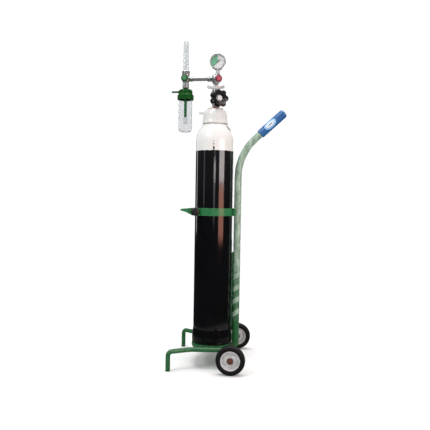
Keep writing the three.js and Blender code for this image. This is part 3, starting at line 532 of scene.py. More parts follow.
def film():
    """Cloudy packing film wound round the painted pole, which shows through where it lies tight. Its pale
    colour is partly the film's own cloudiness and partly a painted highlight on the pole.
    """
    nodes = Nodes("packing film")
    cloudy = nodes.ranged(nodes.noise(70, 6, 0.6, (1, 1, 0.4)), 0, 1, 0.35, 0.7)
    place = nodes.axes()
    around = nodes.maths("ARCTAN2", place["Y"], nodes.maths("SUBTRACT", place["X"], AXIS_X + POLE_X * MM))
    wraps = nodes.maths("SUBTRACT", nodes.maths("DIVIDE", place["Z"], FILM_PITCH * MM),
                        nodes.maths("DIVIDE", around, 2 * pi))
    doubled = nodes.ranged(nodes.maths("FRACT", wraps), 1, 0, 0.38, 0.46)
    layers = nodes.ranged(place["Z"], 0, 1, 0.27, 0.36)
    thickness_and_sheen = nodes.maths("ADD", nodes.maths("MULTIPLY", cloudy, 0.36),
                        nodes.maths("MAXIMUM", nodes.maths("MULTIPLY", doubled, 0.46),
                                    nodes.maths("MULTIPLY", layers, 0.44)))
    # the pale film colour is partly the cloudy film itself and partly a painted highlight standing in for
    # the shine on the pole
    nodes.feed(Base_Color=nodes.mixed(thickness_and_sheen, (0.24, 0.44, 0.30), (0.66, 0.82, 0.70)))
    nodes.feed(Roughness=nodes.ranged(cloudy, 0.16, 0.42))
    ragged = nodes.maths("ADD", place["Z"], nodes.ranged(nodes.noise(60, 4), -0.012, 0.012, 0.3, 0.7))
    wound = nodes.ranged(ragged, 0, 1, 0.150, 0.156)
    nodes.feed(Alpha=nodes.maths("MULTIPLY", wound, nodes.ranged(thickness_and_sheen, 0.06, 0.90)))
    nodes.bump(nodes.noise(380, 5, 0.6, (1, 1, 0.5)), 0.5, 0.0006)
    nodes.feed(IOR=1.5, Coat_Weight=0.4, Coat_Roughness=0.1)
    return nodes.owner


PAINT_LINE = 778


def cylinder_paint():
    """Glossy black up to the paint line, white above it, with a soft brushed edge between the two."""
    nodes = Nodes("black and white cylinder enamel")
    place = nodes.axes()
    wobble = nodes.ranged(nodes.noise(70, 5), -0.0009, 0.0009, 0.3, 0.7)
    height = nodes.maths("ADD", place["Z"], wobble)
    is_white = nodes.ranged(height, 0, 1, PAINT_LINE * MM - 0.0003, PAINT_LINE * MM + 0.0003)
    broad = nodes.ranged(nodes.noise(14, 5), 0, 1, 0.3, 0.7)
    black = nodes.mixed(broad, (0.0018, 0.0020, 0.0028), (0.0034, 0.0036, 0.0046))
    scuffs = nodes.ranged(nodes.noise(55, 9, 0.75, (1, 1, 0.22)), 0, 0.5, 0.69, 0.76)
    black = nodes.mixed(scuffs, black, (0.05, 0.05, 0.052))
    white = nodes.mixed(broad, (0.80, 0.80, 0.78), (0.86, 0.86, 0.84))
    specks = nodes.ranged(nodes.noise(300, 4, 0.6), 0, 0.5, 0.70, 0.73)
    white = nodes.mixed(specks, white, (0.42, 0.40, 0.37))
    nodes.feed(Base_Color=nodes.mixed(is_white, black, white))
    rough = nodes.maths("ADD", nodes.ranged(nodes.noise(30, 7, 0.65), 0.06, 0.15, 0.3, 0.7),
                        nodes.maths("MULTIPLY", scuffs, 0.4))
    rough = nodes.maths("ADD", rough, nodes.maths("MULTIPLY", is_white, 0.12))
    nodes.bump(nodes.noise(55, 3, 0.5), 0.06, 0.0010)
    nodes.feed(Roughness=rough, Specular_IOR_Level=0.8)
    return nodes.owner


LOOKS["cylinder"] = cylinder_paint()
LOOKS["film"] = film()
LOOKS["bottle"] = clear_plastic("clear bottle plastic", (0.72, 0.73, 0.75), 0.08, 60, 1.12, 0.62)
LOOKS["tube"] = clear_plastic("clear tube plastic", (0.80, 0.82, 0.83), 0.06, 90, 1.25, 0.55)
LOOKS["lens"] = finish("gauge lens", (0.9, 0.92, 0.94), 0.03, vary=0.02, grain=(30, 0.02), Alpha=0.07)
LOOKS["dip"] = finish("green dip tube", (0.02, 0.20, 0.055), 0.25, grain=(900, 0.1),
                      Transmission_Weight=0.3)

# ---------------------------------------------------------------- trolley base
ROD_R = 8.2
ROD_Z = 67.5
FOOT_X, FOOT_Y = -134, 162
TURN_X, TURN_Y, END_X, END_Y = -60, 119, 93, 104
PLATE_BOTTOM, PLATE_TOP = 67, 71
PLATE_NOSE = -98
HALF_TRACK = 172
AXLE_X, AXLE_Z, AXLE_R, STUB_R = 85, 51, 8, 6
BOLT_CIRCLE = 23.8


def weld(name, points, radius, node):
    """A rippled bead of weld laid along a line of points in millimetres."""
    path = spaced([Vector(p) for p in points], 0.8)

    def ripple(ring, angle):
        return 1 + 0.16 * sin(ring * 1.9) + 0.10 * noise.noise(path[ring] * 0.3)
    extra(name, swept(path, circle(radius, 14), ripple), node, "green")


def plate_half(x):
    share = (x - TURN_X) / (END_X - TURN_X)
    return TURN_Y + (END_Y - TURN_Y) * share - ROD_R - 2


def trolley_base():
    for side, sign in SIDES:
        corners = [Vector((FOOT_X, sign * FOOT_Y, 3.3)), Vector((FOOT_X, sign * FOOT_Y, ROD_Z)),
                   Vector((TURN_X, sign * TURN_Y, ROD_Z)), Vector((END_X, sign * END_Y, ROD_Z))]
        piece(f"leg_rod_{side}", rounded_ends(bent(corners, [14, 60]), ROD_R), "green",
              name=f"bent_leg_{side}")
        plug = revolved([(0, 0), (ROD_R - 0.8, 0, 1), (ROD_R, 1.2, 0.8), (ROD_R, 3), (0, 3)], 0.3)
        piece(f"foot_plug_{side}", plug, "green", facing(FOOT_X, sign * FOOT_Y, 0, UP))
        inner = [(x, sign * (plate_half(x) + 1), PLATE_TOP - 3) for x in (-46, 0, 70)]
        weld(f"plate weld {side}", inner, 2.2, "base_plate")
        seam = [(AXLE_X + along, sign * (END_Y - 1), 59) for along in (-6, 7)]
        weld(f"axle weld {side}", seam, 2.0, "axle")
    back = POLE_X - POLE_R - 3
    front = TURN_X + 12
    outline = [(back, -plate_half(back)), (back, plate_half(back)), (front, plate_half(front))]
    for step in range(1, 24):
        t = step / 24
        bow = 2 * t * (1 - t)
        outline.append((front * (1 - bow) + PLATE_NOSE * bow, plate_half(front) * (1 - 2 * t)))
    outline.append((front, -plate_half(front)))
    piece("base_plate", extruded(outline, PLATE_BOTTOM, PLATE_TOP), "green", bevel=0.9)
    half = [(AXLE_R, 0), (AXLE_R, 157, 0.8), (STUB_R, 157), (STUB_R, 191), (STUB_R - 1, 192), (0, 192)]
    axle = [(0, -192)] + [(r, -y, *soft) for r, y, *soft in half[-2:0:-1]] + half[1:]
    piece("axle", revolved(axle, 0.3, 64), "green", facing(AXLE_X, 0, AXLE_Z, BACK), name="axle_bar")


def wheels():
    for side, sign in SIDES:
        place = facing(AXLE_X, sign * HALF_TRACK, AXLE_Z, (0, sign, 0))
        half = [(34.3, 12), (40, 12.6), (42, 13), (44, 12.6), (46.6, 12.8, 1.5), (49.6, 10, 2), (50.6, 7.4),
                (49.3, 7.0), (49.3, 5.8), (50.9, 5.4), (51, 1), (49.7, 0.7)]
        tread = [(r, -z, *soft) for r, z, *soft in half] + half[::-1]
        piece(f"tyre_{side}", revolved(tread, 0.35, 160), "tyre", place)
        disc = [(11, -11), (16, -11), (17.5, -4, 2), (26, -1.5, 3), (29.5, -10, 2), (32, -12), (34, -12),
                (34, 12), (31.5, 12), (30, 9.5, 2), (27.5, 2.5, 3), (21, 3.5, 2), (18.5, 6, 2), (17, 12),
                (11, 12)]
        bolt = hex_nut(5.2, 2.4, 5.6, segments=48)
        bolts = [placed(bolt, moved(*polar(BOLT_CIRCLE, a, 0))) for a in turns(5)]
        piece(f"rim_{side}", joined(revolved(disc, 0.6, 128), *bolts), "zinc", place,
              name=f"pressed_rim_{side}")
        cap = [(0, 25), (4.6, 24.6, 1), (8, 22, 1.5), (8, 15.2, 0.5), (10, 14.5), (10, 13), (6.3, 13),
               (6.3, 20.3), (0, 20.3)]
        piece(f"axle_cap_{side}", revolved(cap, 0.5), "rust", place)


# ---------------------------------------------------------------- pole, grip and backrest
BEND_Z, BEND_R = 770, 190
TILT = radians(47.5)
HANDLE = Vector((sin(TILT), 0, cos(TILT)))
CROSSING = Vector((POLE_X, 0, BEND_Z))
GRIP_START, GRIP_LENGTH, GRIP_R = 107, 118, 16.4
STICKER_TURN = 82


def film_wrap(path):
    """A long strip of film wound up the pole, each turn lapping over the one below it."""
    rings = spaced(path, 1.6)
    lengths = [0.0]
    for a, b in zip(rings, rings[1:]):
        lengths.append(lengths[-1] + (b - a).length)
    base = POLE_R + 0.15

    def lap(ring, angle):
        turn = (lengths[ring] / FILM_PITCH - angle / (2 * pi)) % 1
        edge = 0.75 * max(0, 1 - turn * 1.05)
        crease = noise.noise(Vector((lengths[ring] * 0.05, cos(angle) * 1.3, sin(angle) * 1.3)))
        pleat = noise.noise(Vector((lengths[ring] * 0.22, cos(angle) * 2.5, sin(angle) * 2.5)))
        return 1 + (edge + 0.35 * crease + 0.3 * max(0, pleat)) / base
    extra("pole film wrap", swept(rings, circle(base, 72), lap), "handle_pole", "film", sharp=60)


def decal_patch(radius, length, width, lift, steps=28):
    """An oval patch laid on the grip's surface: length runs along the grip, width round it."""
    rows = []
    for ring in range(steps + 1):
        share = ring / steps
        r = radius + lift * (1 if ring < steps else 0.2)
        row = []
        for angle in turns(64):
            around = width / 2 * share * sin(angle) / radius
            row.append((r * sin(around), r * cos(around), length / 2 * share * cos(angle)))
        rows.append(row)
    return skinned(rows)


def pole_and_grip():
    end = CROSSING + HANDLE * (GRIP_START + GRIP_LENGTH - 6)
    path = bent([Vector((POLE_X, 0, 59.3)), CROSSING, end], [BEND_R], 24)
    piece("handle_pole", rounded_ends(path, POLE_R, 48), "green")
    collar = [(AXLE_X + 1 + 14 * cos(a), 12.5 * sin(a), 60) for a in [*turns(36), 2 * pi]]
    weld("pole foot weld", collar, 2.0, "handle_pole")
    wrapped_end = CROSSING + HANDLE * (GRIP_START - 1)
    film_wrap(bent([Vector((POLE_X, 0, 135)), CROSSING, wrapped_end], [BEND_R], 24))
    grip = [(0, 118), (9, 117.6, 3), (14.5, 115.5, 4), (16.4, 110), (16.4, 12), (16.1, 9.5), (16.4, 7),
            (16.4, 1.5, 1), (15.2, 0), (13, 0), (13, 112), (0, 112)]
    start = CROSSING + HANDLE * GRIP_START
    place = facing(start.x, start.y, start.z, HANDLE)
    piece("hand_grip", revolved(grip, 1.2, 128), "grip", place)
    sticker_place = place @ moved(0, 0, 50) @ turned(radians(STICKER_TURN))
    for name, length, width, lift, look in (("sticker oval", 50, 30, 0.12, "decal"),
                                            ("sticker band", 36, 15, 0.20, "decal_white"),
                                            ("sticker stripe", 24, 4, 0.28, "grip")):
        extra(name, decal_patch(GRIP_R, length, width, lift), "hand_grip", look, sticker_place)
    bar = extruded(oblong(71.2, 75.5, -12, 12), 130, 406)
    piece("backrest_bar", bar, "green", bevel=0.8)


# ---------------------------------------------------------------- clamp
CLAMP_Z, HALF_BAND = 555, 14
BAND_IN, BAND_OUT = 70.6, 73.6
HINGE = Vector((80, -23.5, 0))
EAR = Vector((-62, -60, 0))
OUTWARD = (EAR - HINGE).normalized()
SCREW = Vector((-OUTWARD.y, OUTWARD.x, 0))


def band(start, end):
    """A flat strap bent round the cylinder between two angles in degrees."""
    middle = (BAND_IN + BAND_OUT) / 2
    half = (BAND_OUT - BAND_IN) / 2
    outline = softened(oblong(-half, half, -HALF_BAND, HALF_BAND), 0.7, 3, True)
    steps = round((end - start) / 2.5)
    path = []
    for k in range(steps + 1):
        angle = radians(start + (end - start) * k / steps)
        path.append(Vector((middle * cos(angle), middle * sin(angle), CLAMP_Z)))
    return swept(path, outline)


def ear_frame(offset):
    origin = EAR + SCREW * offset
    across = OUTWARD.cross(UP)
    axes = Matrix((OUTWARD, UP, across)).transposed().to_4x4()
    return Matrix.Translation(at(origin.x, origin.y, CLAMP_Z)) @ axes @ Matrix.Scale(MM, 4)


def hole(radius):
    return extruded(circle(radius, 40), -5, 5)


def clamp():
    piece("clamp_band_fixed", band(-13, 225), "strap", name="clamp_fixed_band")
    ear = softened([(-11.5, -14, 0), (12, -14), (12, 14), (-11.5, 14, 0)], 4, 6, True)
    extra("clamp fixed ear", extruded(ear, -1.5, 1.5), "clamp_band_fixed", "strap", ear_frame(-8),
          bevel=0.6, cutters=[(hole(5.2), ear_frame(-8))])
    piece("clamp_band_gate", band(229, 343), "strap", name="clamp_gate_band")
    tail = softened([(-16, -14, 0), (14, -11.5), (34, -1, 20), (52, 3.5, 2), (54, 6.5, 2), (52, 10, 2),
                     (14, 14, 20), (-16, 14, 0)], 6, 6, True)
    extra("clamp tail", extruded(tail, -1.5, 1.5), "clamp_band_gate", "strap", ear_frame(0),
          bevel=0.6, cutters=[(hole(4.4), ear_frame(0))])
    third = HALF_BAND * 2 * 0.3
    gap = 0.3
    hinge_place = facing(HINGE.x, HINGE.y, 0, UP)
    low, high = CLAMP_Z - HALF_BAND, CLAMP_Z + HALF_BAND
    for name, bottom, top, node in (("lower knuckle", low, low + third - gap, "clamp_bracket"),
                                    ("gate knuckle", low + third, high - third, "clamp_band_gate"),
                                    ("upper knuckle", high - third + gap, high, "clamp_bracket")):
        barrel = revolved(oblong(2.7, 5, bottom, top), 0.4, 48)
        extra(name, barrel, node, "strap", hinge_place)
    for name, bottom, top in (("lower hinge web", low, low + third - gap),
                              ("upper hinge web", high - third + gap, high)):
        web = extruded(oblong(77, 83, -20, -16), bottom + 0.2, top - 0.2)
        extra(name, web, "clamp_bracket", "strap", bevel=0.5)
    gate_web = extruded(oblong(70, 77, -25, -21.8), low + third + gap, high - third - gap)
    extra("gate hinge web", gate_web, "clamp_band_gate", "strap", bevel=0.5)
    piece("clamp_bracket", extruded(bracket_outline(), low, high), "strap", bevel=0.7)
    pin = [(0, low - 2), (3.6, low - 2, 1.2), (3.6, low - 0.4), (2.4, low - 0.3), (2.4, high + 0.3),
           (3.6, high + 0.4), (3.6, high + 2, 1.2), (0, high + 2)]
    piece("clamp_hinge_pin", revolved(pin, 0.3, 48), "zinc", hinge_place, name="hinge_pin")
    screw_place = facing(EAR.x, EAR.y, CLAMP_Z, SCREW)
    piece("clamp_screw", threaded(4, 3.45, -13, 15, 1.25), "zinc", screw_place, sharp=60)
    knob = [(0, 19), (8, 19, 2), (11, 18.2), (14.6, 16.5, 3), (15, 12), (15, 8), (13.4, 4.6, 2), (9, 4),
            (4.6, 4), (4.6, 15), (0, 15)]
    piece("clamp_knob", revolved(knob, 1, 128, radius_at=lobed(15, 0.9, 8, 9)), "black_plastic",
          screw_place)


def bracket_outline():
    """The bracket from above: it fills the gap between the band and the pole and is hollowed to both."""
    seat, half, end = POLE_R + 0.3, POLE_R + 4.5, POLE_X - 4.5
    band_side = BAND_OUT + 0.3
    reach = asin(half / band_side)
    pole_reach = acos((POLE_X - end) / seat)
    outline = [polar(band_side, reach * k / 12, 0)[:2] for k in range(-12, 13)]
    outline += [(end, half)]
    outline += [(POLE_X - seat * cos(pole_reach * k / 12), seat * sin(pole_reach * k / 12))
                for k in range(12, -13, -1)]
    outline += [(end, -half)]
    return outline


def threaded(outer, root, bottom, top, pitch, segments=40):
    """A rod whose surface rises and falls in a screw thread."""
    rows = []
    count = int((top - bottom) / (pitch / 6))
    for i in range(count + 1):
        z = bottom + (top - bottom) * i / count
        full = max(0, min(1, (z - bottom) / pitch, (top - z) / pitch))
        row = []
        for k, angle in enumerate(turns(segments)):
            wave = abs(((z / pitch - k / segments) % 1) * 2 - 1)
            row.append(polar(root + (outer - root) * wave * full, angle, z))
        rows.append(row)
    return capped(rows)


# ---------------------------------------------------------------- cylinder
SHOULDER_Z, SHOULDER_RISE, CYLINDER_R = 812, 82.5, 70
NECK_R, NECK_TOP = 17.5, 912


def ellipse(radius, start, rise, until, steps):
    last = acos(until / radius)
    return [(radius * cos(last * k / steps), start + rise * sin(last * k / steps), 0)
            for k in range(steps + 1)]


def shell_radius(z):
    if z <= SHOULDER_Z:
        return CYLINDER_R
    return CYLINDER_R * cos(asin((z - SHOULDER_Z) / SHOULDER_RISE))


def skin_patch(turn, z, width, height, lift=0.12, rings=6):
    """An oval of paint on the shell. turn is its direction in degrees from -Y towards +X."""
    middle = radians(turn)
    centre = shell_radius(z) + lift
    rows = [[(centre * sin(middle), -centre * cos(middle), z)]]
    for ring in range(1, rings + 1):
        share = ring / rings
        row = []
        for angle in turns(40):
            level = z + height / 2 * share * sin(angle)
            out = shell_radius(level) + lift * (1 if ring < rings else 0.2)
            around = middle + width / 2 * share * cos(angle) / out
            row.append((out * sin(around), -out * cos(around), level))
        rows.append(row)
    return skinned(rows)


STAMP_TURN, STAMP_Z = 74, 862


def shell_marks():
    drips = [skin_patch(3.5, 786, 5.6, 15), skin_patch(3.2, 800, 4.2, 6), skin_patch(3.0, 810, 3.2, 4)]
    extra("paint drips", joined(*drips), "cylinder_shell", "black")
    extra("stamp field", skin_patch(STAMP_TURN, STAMP_Z, 34, 20, 0.1), "cylinder_shell", "stamped")
    punches = []
    for row in range(3):
        for column in range(9):
            turn = STAMP_TURN - 12 + 3 * column
            punches.append(skin_patch(turn, STAMP_Z - 5 + 5 * row, 1.4 + 0.5 * ((row + column) % 3), 1.8,
                                      0.2, 2))
    extra("punched marks", joined(*punches), "cylinder_shell", "ink")


def cylinder():
    bottom = [(r if r > 0.01 else 0, z, 0) for r, z, _ in ellipse(CYLINDER_R, 117, -42, 0, 20)][::-1]
    shoulder = ellipse(CYLINDER_R, SHOULDER_Z, SHOULDER_RISE, NECK_R, 40)
    wall = [(CYLINDER_R, 117 + (SHOULDER_Z - 117) * k / 12, 0) for k in range(1, 12)]
    profile = bottom + wall + shoulder + [(NECK_R, NECK_TOP), (11, NECK_TOP), (11, 880), (0, 879)]
    piece("cylinder_shell", revolved(profile, 1.5, 192), "cylinder")
    foot = [(70.5, 74.5), (69, 72.5), (69, 71.3), (72.5, 71.3), (74, 75.3, 3), (74, 96, 30),
            (70.8, 124, 0.4), (70.4, 124)]
    piece("foot_ring", revolved(foot, 0.8, 192), "black")
    top = SHOULDER_Z + SHOULDER_RISE * sin(acos(NECK_R / CYLINDER_R))
    neck = [(17.8, top + 1), (26, top + 1), (26, top + 13, 1), (24.5, top + 14), (17.8, top + 14)]
    piece("neck_ring", revolved(neck, 0.6), "steel")
    guard = [(42.5, 879), (47.5, 879), (47.5, 884), (45.7, 893, 4), (44.8, 904), (44.2, 914),
             (42.8, 920.5, 3), (37, 928, 4), (28, 935), (26.8, 933.5), (27.4, 931.8), (35, 925.8),
             (39.5, 919.5), (41.2, 913), (41.8, 904), (26.4, 904), (26.4, 900), (41.8, 900)]
    window = softened([(-24, 908), (24, 908), (24, 922), (20, 926), (-20, 926), (-24, 922)], 4, 6, True)
    through = facing(0, 0, 0, FRONT) @ moved(0, 0, -70)
    piece("valve_guard", revolved(guard, 1.2, 160), "white", cutters=[(extruded(window, 0, 50), through)])
    mouth = [(26.6, 934.4), (29.5, 933.2, 1), (30.2, 934.6, 0.8), (28.2, 936, 0.8), (26.4, 936, 0.4)]
    extra("guard mouth beading", revolved(mouth, 0.3, 128), "valve_guard", "beading")
    lug = extruded(softened([(-62, 915.5), (-42.8, 915.5, 0), (-42.8, 924.5, 0), (-62, 924.5)], 3, 5,
                            True), -3, 3)
    extra("guard seal lug", lug, "valve_guard", "white", facing(0, 0, 0, FRONT), bevel=0.6)


# ---------------------------------------------------------------- valve
SPINDLE_Z = 966
SPINDLE = Vector((sin(radians(20)), -cos(radians(20)), 0))
SAFETY_Z = 941


def valve():
    spindle_place = facing(0, 0, SPINDLE_Z, SPINDLE)
    safety_place = facing(0, 0, SAFETY_Z, FRONT)
    turning = [(0, 888), (9.5, 888), (10.6, 891), (10.6, 912.3), (16.5, 912.3), (16.5, 922, 1), (13, 924),
               (13, 950), (15.5, 954, 2), (15.5, 982), (15, 986), (15, 1003), (14, 1004), (0, 1004)]
    boss = revolved([(0, 0), (12, 0), (12, 31), (11, 32), (0, 32)], 0.8)
    safety = revolved(oblong(0, 6.5, 0, 15), 0.6)
    body = joined(revolved(turning, 0.8), placed(boss, TO_AXIS @ spindle_place),
                  placed(safety, TO_AXIS @ safety_place))
    socket = (extruded(circle(10.4, 64), 990, 1010), UPRIGHT)
    piece("valve_body", body, "chrome", voxel=0.45, passes=6, cutters=[socket], sharp=35)
    piece("gland_nut", hex_nut(22.5, 32.3, 38, 4.4), "chrome", spindle_place, sharp=25)
    wheel = [(4.4, 55.2), (13.5, 55.2), (13.5, 61.8), (14.8, 63, 0.8), (24, 62.6, 6), (30.5, 61, 4),
             (34.5, 56, 4), (34.5, 48.5, 4), (31.5, 43.2, 3), (26, 42, 3), (13, 42), (13, 39.2),
             (4.4, 39.2)]

    def fluted(r, z, angle):
        share = max(0, min(1, (r - 17) / 17.5))
        groove = (0.5 - 0.5 * cos(7 * angle)) ** 2
        return r - 6.5 * groove * share ** 1.5 * (1 if z > 41 else 0)
    piece("handwheel", revolved(wheel, 0.8, 280, radius_at=fluted), "wheel_plastic", spindle_place)
    washer = revolved([(4.3, 55.6), (11.5, 55.6), (11.5, 57.4, 1), (9, 58.8, 1), (4.3, 58.8)], 0.4)
    dome = revolved([(0, 61.3), (5.4, 61.3), (5.4, 62.3), (4, 63, 0.6), (0, 63)], 0.3, 64)
    nut = joined(washer, hex_nut(14.5, 58.8, 62.4, 4.3), dome)
    piece("handwheel_nut", nut, "satin", spindle_place, sharp=30)
    piece("safety_plug", hex_nut(10, 15.3, 18.5), "brass", safety_place, sharp=25)
    cap = [(0, 25), (3.4, 24.8, 1), (4.8, 22.6, 1), (4.8, 18.8), (0, 18.8)]
    piece("safety_cap", revolved(cap, 0.5), "red", safety_place)


# ---------------------------------------------------------------- regulator
GAUGE = (6.5, -2, 1107.5)
REGULATOR_Z, BONNET_Z = 1046, 1040.5
BONNET = Vector((sin(radians(22)), -cos(radians(22)), 0))


def regulator():
    stem = [(2, 982), (4.5, 982), (6.4, 987, 1), (6.4, 990.3), (9.6, 990.3), (9.6, 993), (6, 995),
            (6, 1025.2), (2, 1025.2)]
    piece("inlet_stem", revolved(stem, 0.4), "chrome")
    wing = [(0, 1008), (20, 1009.5), (29, 1010.5), (33, 1014), (33.4, 1018), (31.6, 1021.6), (28, 1022.2),
            (24.5, 1020.6), (19, 1018.6), (12, 1018), (0, 1018)]
    blade = extruded(softened(wing, 2.5, 4, True), -2.7, 2.7)
    side_on = TO_AXIS @ facing(0, 0, 0, FRONT)
    hub = revolved([(0, 996.5), (9.8, 996.5), (9.8, 1007), (14, 1007), (14, 1017, 1.5), (11, 1020.5, 1),
                    (0, 1020.5)], 0.8)
    blades = [placed(blade, side_on), placed(blade, turned(pi) @ side_on)]
    bore = (extruded(circle(6.5, 48), 990, 1030), UPRIGHT)
    piece("wing_nut", joined(hub, *blades), "satin", voxel=0.4, passes=8, cutters=[bore])
    bonnet_place = facing(0, 0, BONNET_Z, BONNET)
    turning = [(0, 1025.5), (9, 1025.5), (11, 1028), (16, 1036, 3), (18.2, 1046, 6), (16, 1055, 3),
               (11, 1060), (0, 1061)]
    boss = placed(revolved([(0, 1046), (9, 1046), (9, 1064), (8.4, 1064.5), (0, 1064.5)], 0.5),
                  moved(GAUGE[0], GAUGE[1], 0))
    barrel = revolved([(0, 0), (14.5, 0), (14.5, 19), (13.9, 20), (0, 20)], 0.6)
    inlet = revolved([(0, 0), (10.5, 0), (10.5, 17.5), (9.8, 18.3), (0, 18.3)], 0.5)
    port = facing(0, 0, REGULATOR_Z, LEFT)
    body = joined(revolved(turning, 1), boss, placed(barrel, TO_AXIS @ bonnet_place),
                  placed(inlet, TO_AXIS @ port))
    piece("regulator_body", body, "chrome", voxel=0.45, passes=7)
    flutes = lobed(14.2, 0.25, 36, 13.2)
    bonnet = [(0, 34), (12.5, 34), (13.9, 32, 1), (14.2, 29), (14.2, 24.6), (13.3, 23.7), (14.2, 22.8),
              (14.2, 20.3), (9.8, 20.3), (9.8, 31), (0, 31)]
    piece("regulator_bonnet", revolved(bonnet, 0.5, 288, radius_at=flutes), "chrome", bonnet_place)
    cap = [(0, 41), (8.6, 41), (9.2, 42.4, 0.5), (10.6, 42.2, 0.8), (12.3, 39.4, 1.5), (12.3, 34.3),
           (0, 34.3)]
    piece("bonnet_cap", revolved(cap, 0.4, 128), "red", bonnet_place)
    face = revolved([(0, 42), (7.6, 41.9, 0.6), (8.3, 41.05), (0, 41.05)], 0.3, 96)
    extra("bonnet cap face", face, "bonnet_cap", "pale_red", bonnet_place)


# ---------------------------------------------------------------- gauge
DIAL_Z = 3
SWEEP_START, SWEEP = radians(225), radians(-270)


def arc_band(inner, outer, start, end, bottom, top, steps=40):
    angles = [start + (end - start) * k / steps for k in range(steps + 1)]
    outline = [(outer * cos(a), outer * sin(a)) for a in angles]
    outline += [(inner * cos(a), inner * sin(a)) for a in reversed(angles)]
    return extruded(outline, bottom, top)


def numeral(text, size, x, y, z):
    """A number as a thin raised mesh, centred on a point."""
    curve = bpy.data.curves.new("numeral", "FONT")
    curve.body = text
    curve.size = size
    curve.align_x = "CENTER"
    curve.align_y = "CENTER"
    curve.extrude = 0.03
    curve.resolution_u = 3
    holder = shown("numeral", curve)
    bpy.context.view_layer.update()
    data = holder.to_mesh()
    shift = Vector((x, y, z))
    mesh = [tuple(v.co + shift) for v in data.vertices], [list(p.vertices) for p in data.polygons]
    holder.to_mesh_clear()
    bpy.data.objects.remove(holder)
    return mesh


def tick(angle, inner, outer, width, z):
    turn = turned(angle)
    return placed(extruded(oblong(inner, outer, -width / 2, width / 2), z, z + 0.06), turn)


def gauge():
    place = facing(*GAUGE, FRONT)
    case = [(0, -9), (27, -9), (27, 10.4), (25.8, 10.4), (25.8, 11.2), (26.6, 12, 0.6), (28.4, 12, 0.8),
            (29.5, 10.6), (29.5, 7.4), (29, 6.8), (29, -10), (27.5, -12, 1.5), (0, -12)]
    piece("gauge_case", revolved(case, 0.5, 160), "nickel", place)
    down = facing(GAUGE[0], GAUGE[1], 1064.8, UP)
    stem = joined(revolved([(0, 0), (5.5, 0), (5.5, 15.5), (4.6, 17.5), (0, 17.5)], 0.4),
                  hex_nut(13.5, 3.5, 12.5))
    extra("gauge stem", stem, "gauge_case", "satin", down, sharp=25)
    face = oblong(2.2, 26.6, 2, DIAL_Z)
    piece("gauge_dial", revolved(face, 0.1, 128), "dial", place)
    marks = []
    for k in range(26):
        major = k % 5 == 0
        inner = 19.6 if major else 21.6
        marks.append(tick(SWEEP_START + SWEEP * k / 25, inner, 23.4, 0.6 if major else 0.25, DIAL_Z + 0.02))
    for k in range(6):
        angle = SWEEP_START + SWEEP * k / 5
        marks.append(numeral(str(5 * k), 4.4, 16.4 * cos(angle), 16.4 * sin(angle), DIAL_Z + 0.05))
    marks.append(arc_band(23.3, 23.6, SWEEP_START, SWEEP_START + SWEEP, DIAL_Z + 0.02, DIAL_Z + 0.08))
    extra("dial marks", joined(*marks), "gauge_dial", "grey_ink", place)
    green_sector = arc_band(3, 25.4, SWEEP_START, SWEEP_START + SWEEP * 0.5, DIAL_Z + 0.003, DIAL_Z + 0.015)
    red_sector = arc_band(24.0, 25.4, SWEEP_START + SWEEP * 0.8, SWEEP_START + SWEEP, DIAL_Z + 0.005,
                          DIAL_Z + 0.03)
    extra("dial green sector", green_sector, "gauge_dial", "dial_green", place)
    extra("dial red sector", red_sector, "gauge_dial", "dial_red", place)
    blade = extruded([(-13, -1.6), (-13, 1.6), (0, 1.3), (22.5, 0.4), (22.5, -0.4), (0, -1.3)], 4.4, 5.2)
    hub = revolved([(0, 4.2), (2.8, 4.2), (2.8, 5.6), (1.6, 6, 0.4), (0, 6)], 0.2, 48)
    needle = placed(joined(blade, hub), turned(SWEEP_START))
    piece("gauge_pointer", needle, "ink", place, bevel=0.12)
    lens = [(0, 8.8), (26.7, 8.8), (26.7, 9.6), (19, 10.0, 6), (0, 10.2)]
    piece("gauge_lens", revolved(lens, 0.2, 128), "lens", place)


# ---------------------------------------------------------------- flowmeter
FLOW_X, KNOB_Z = -113, 1044


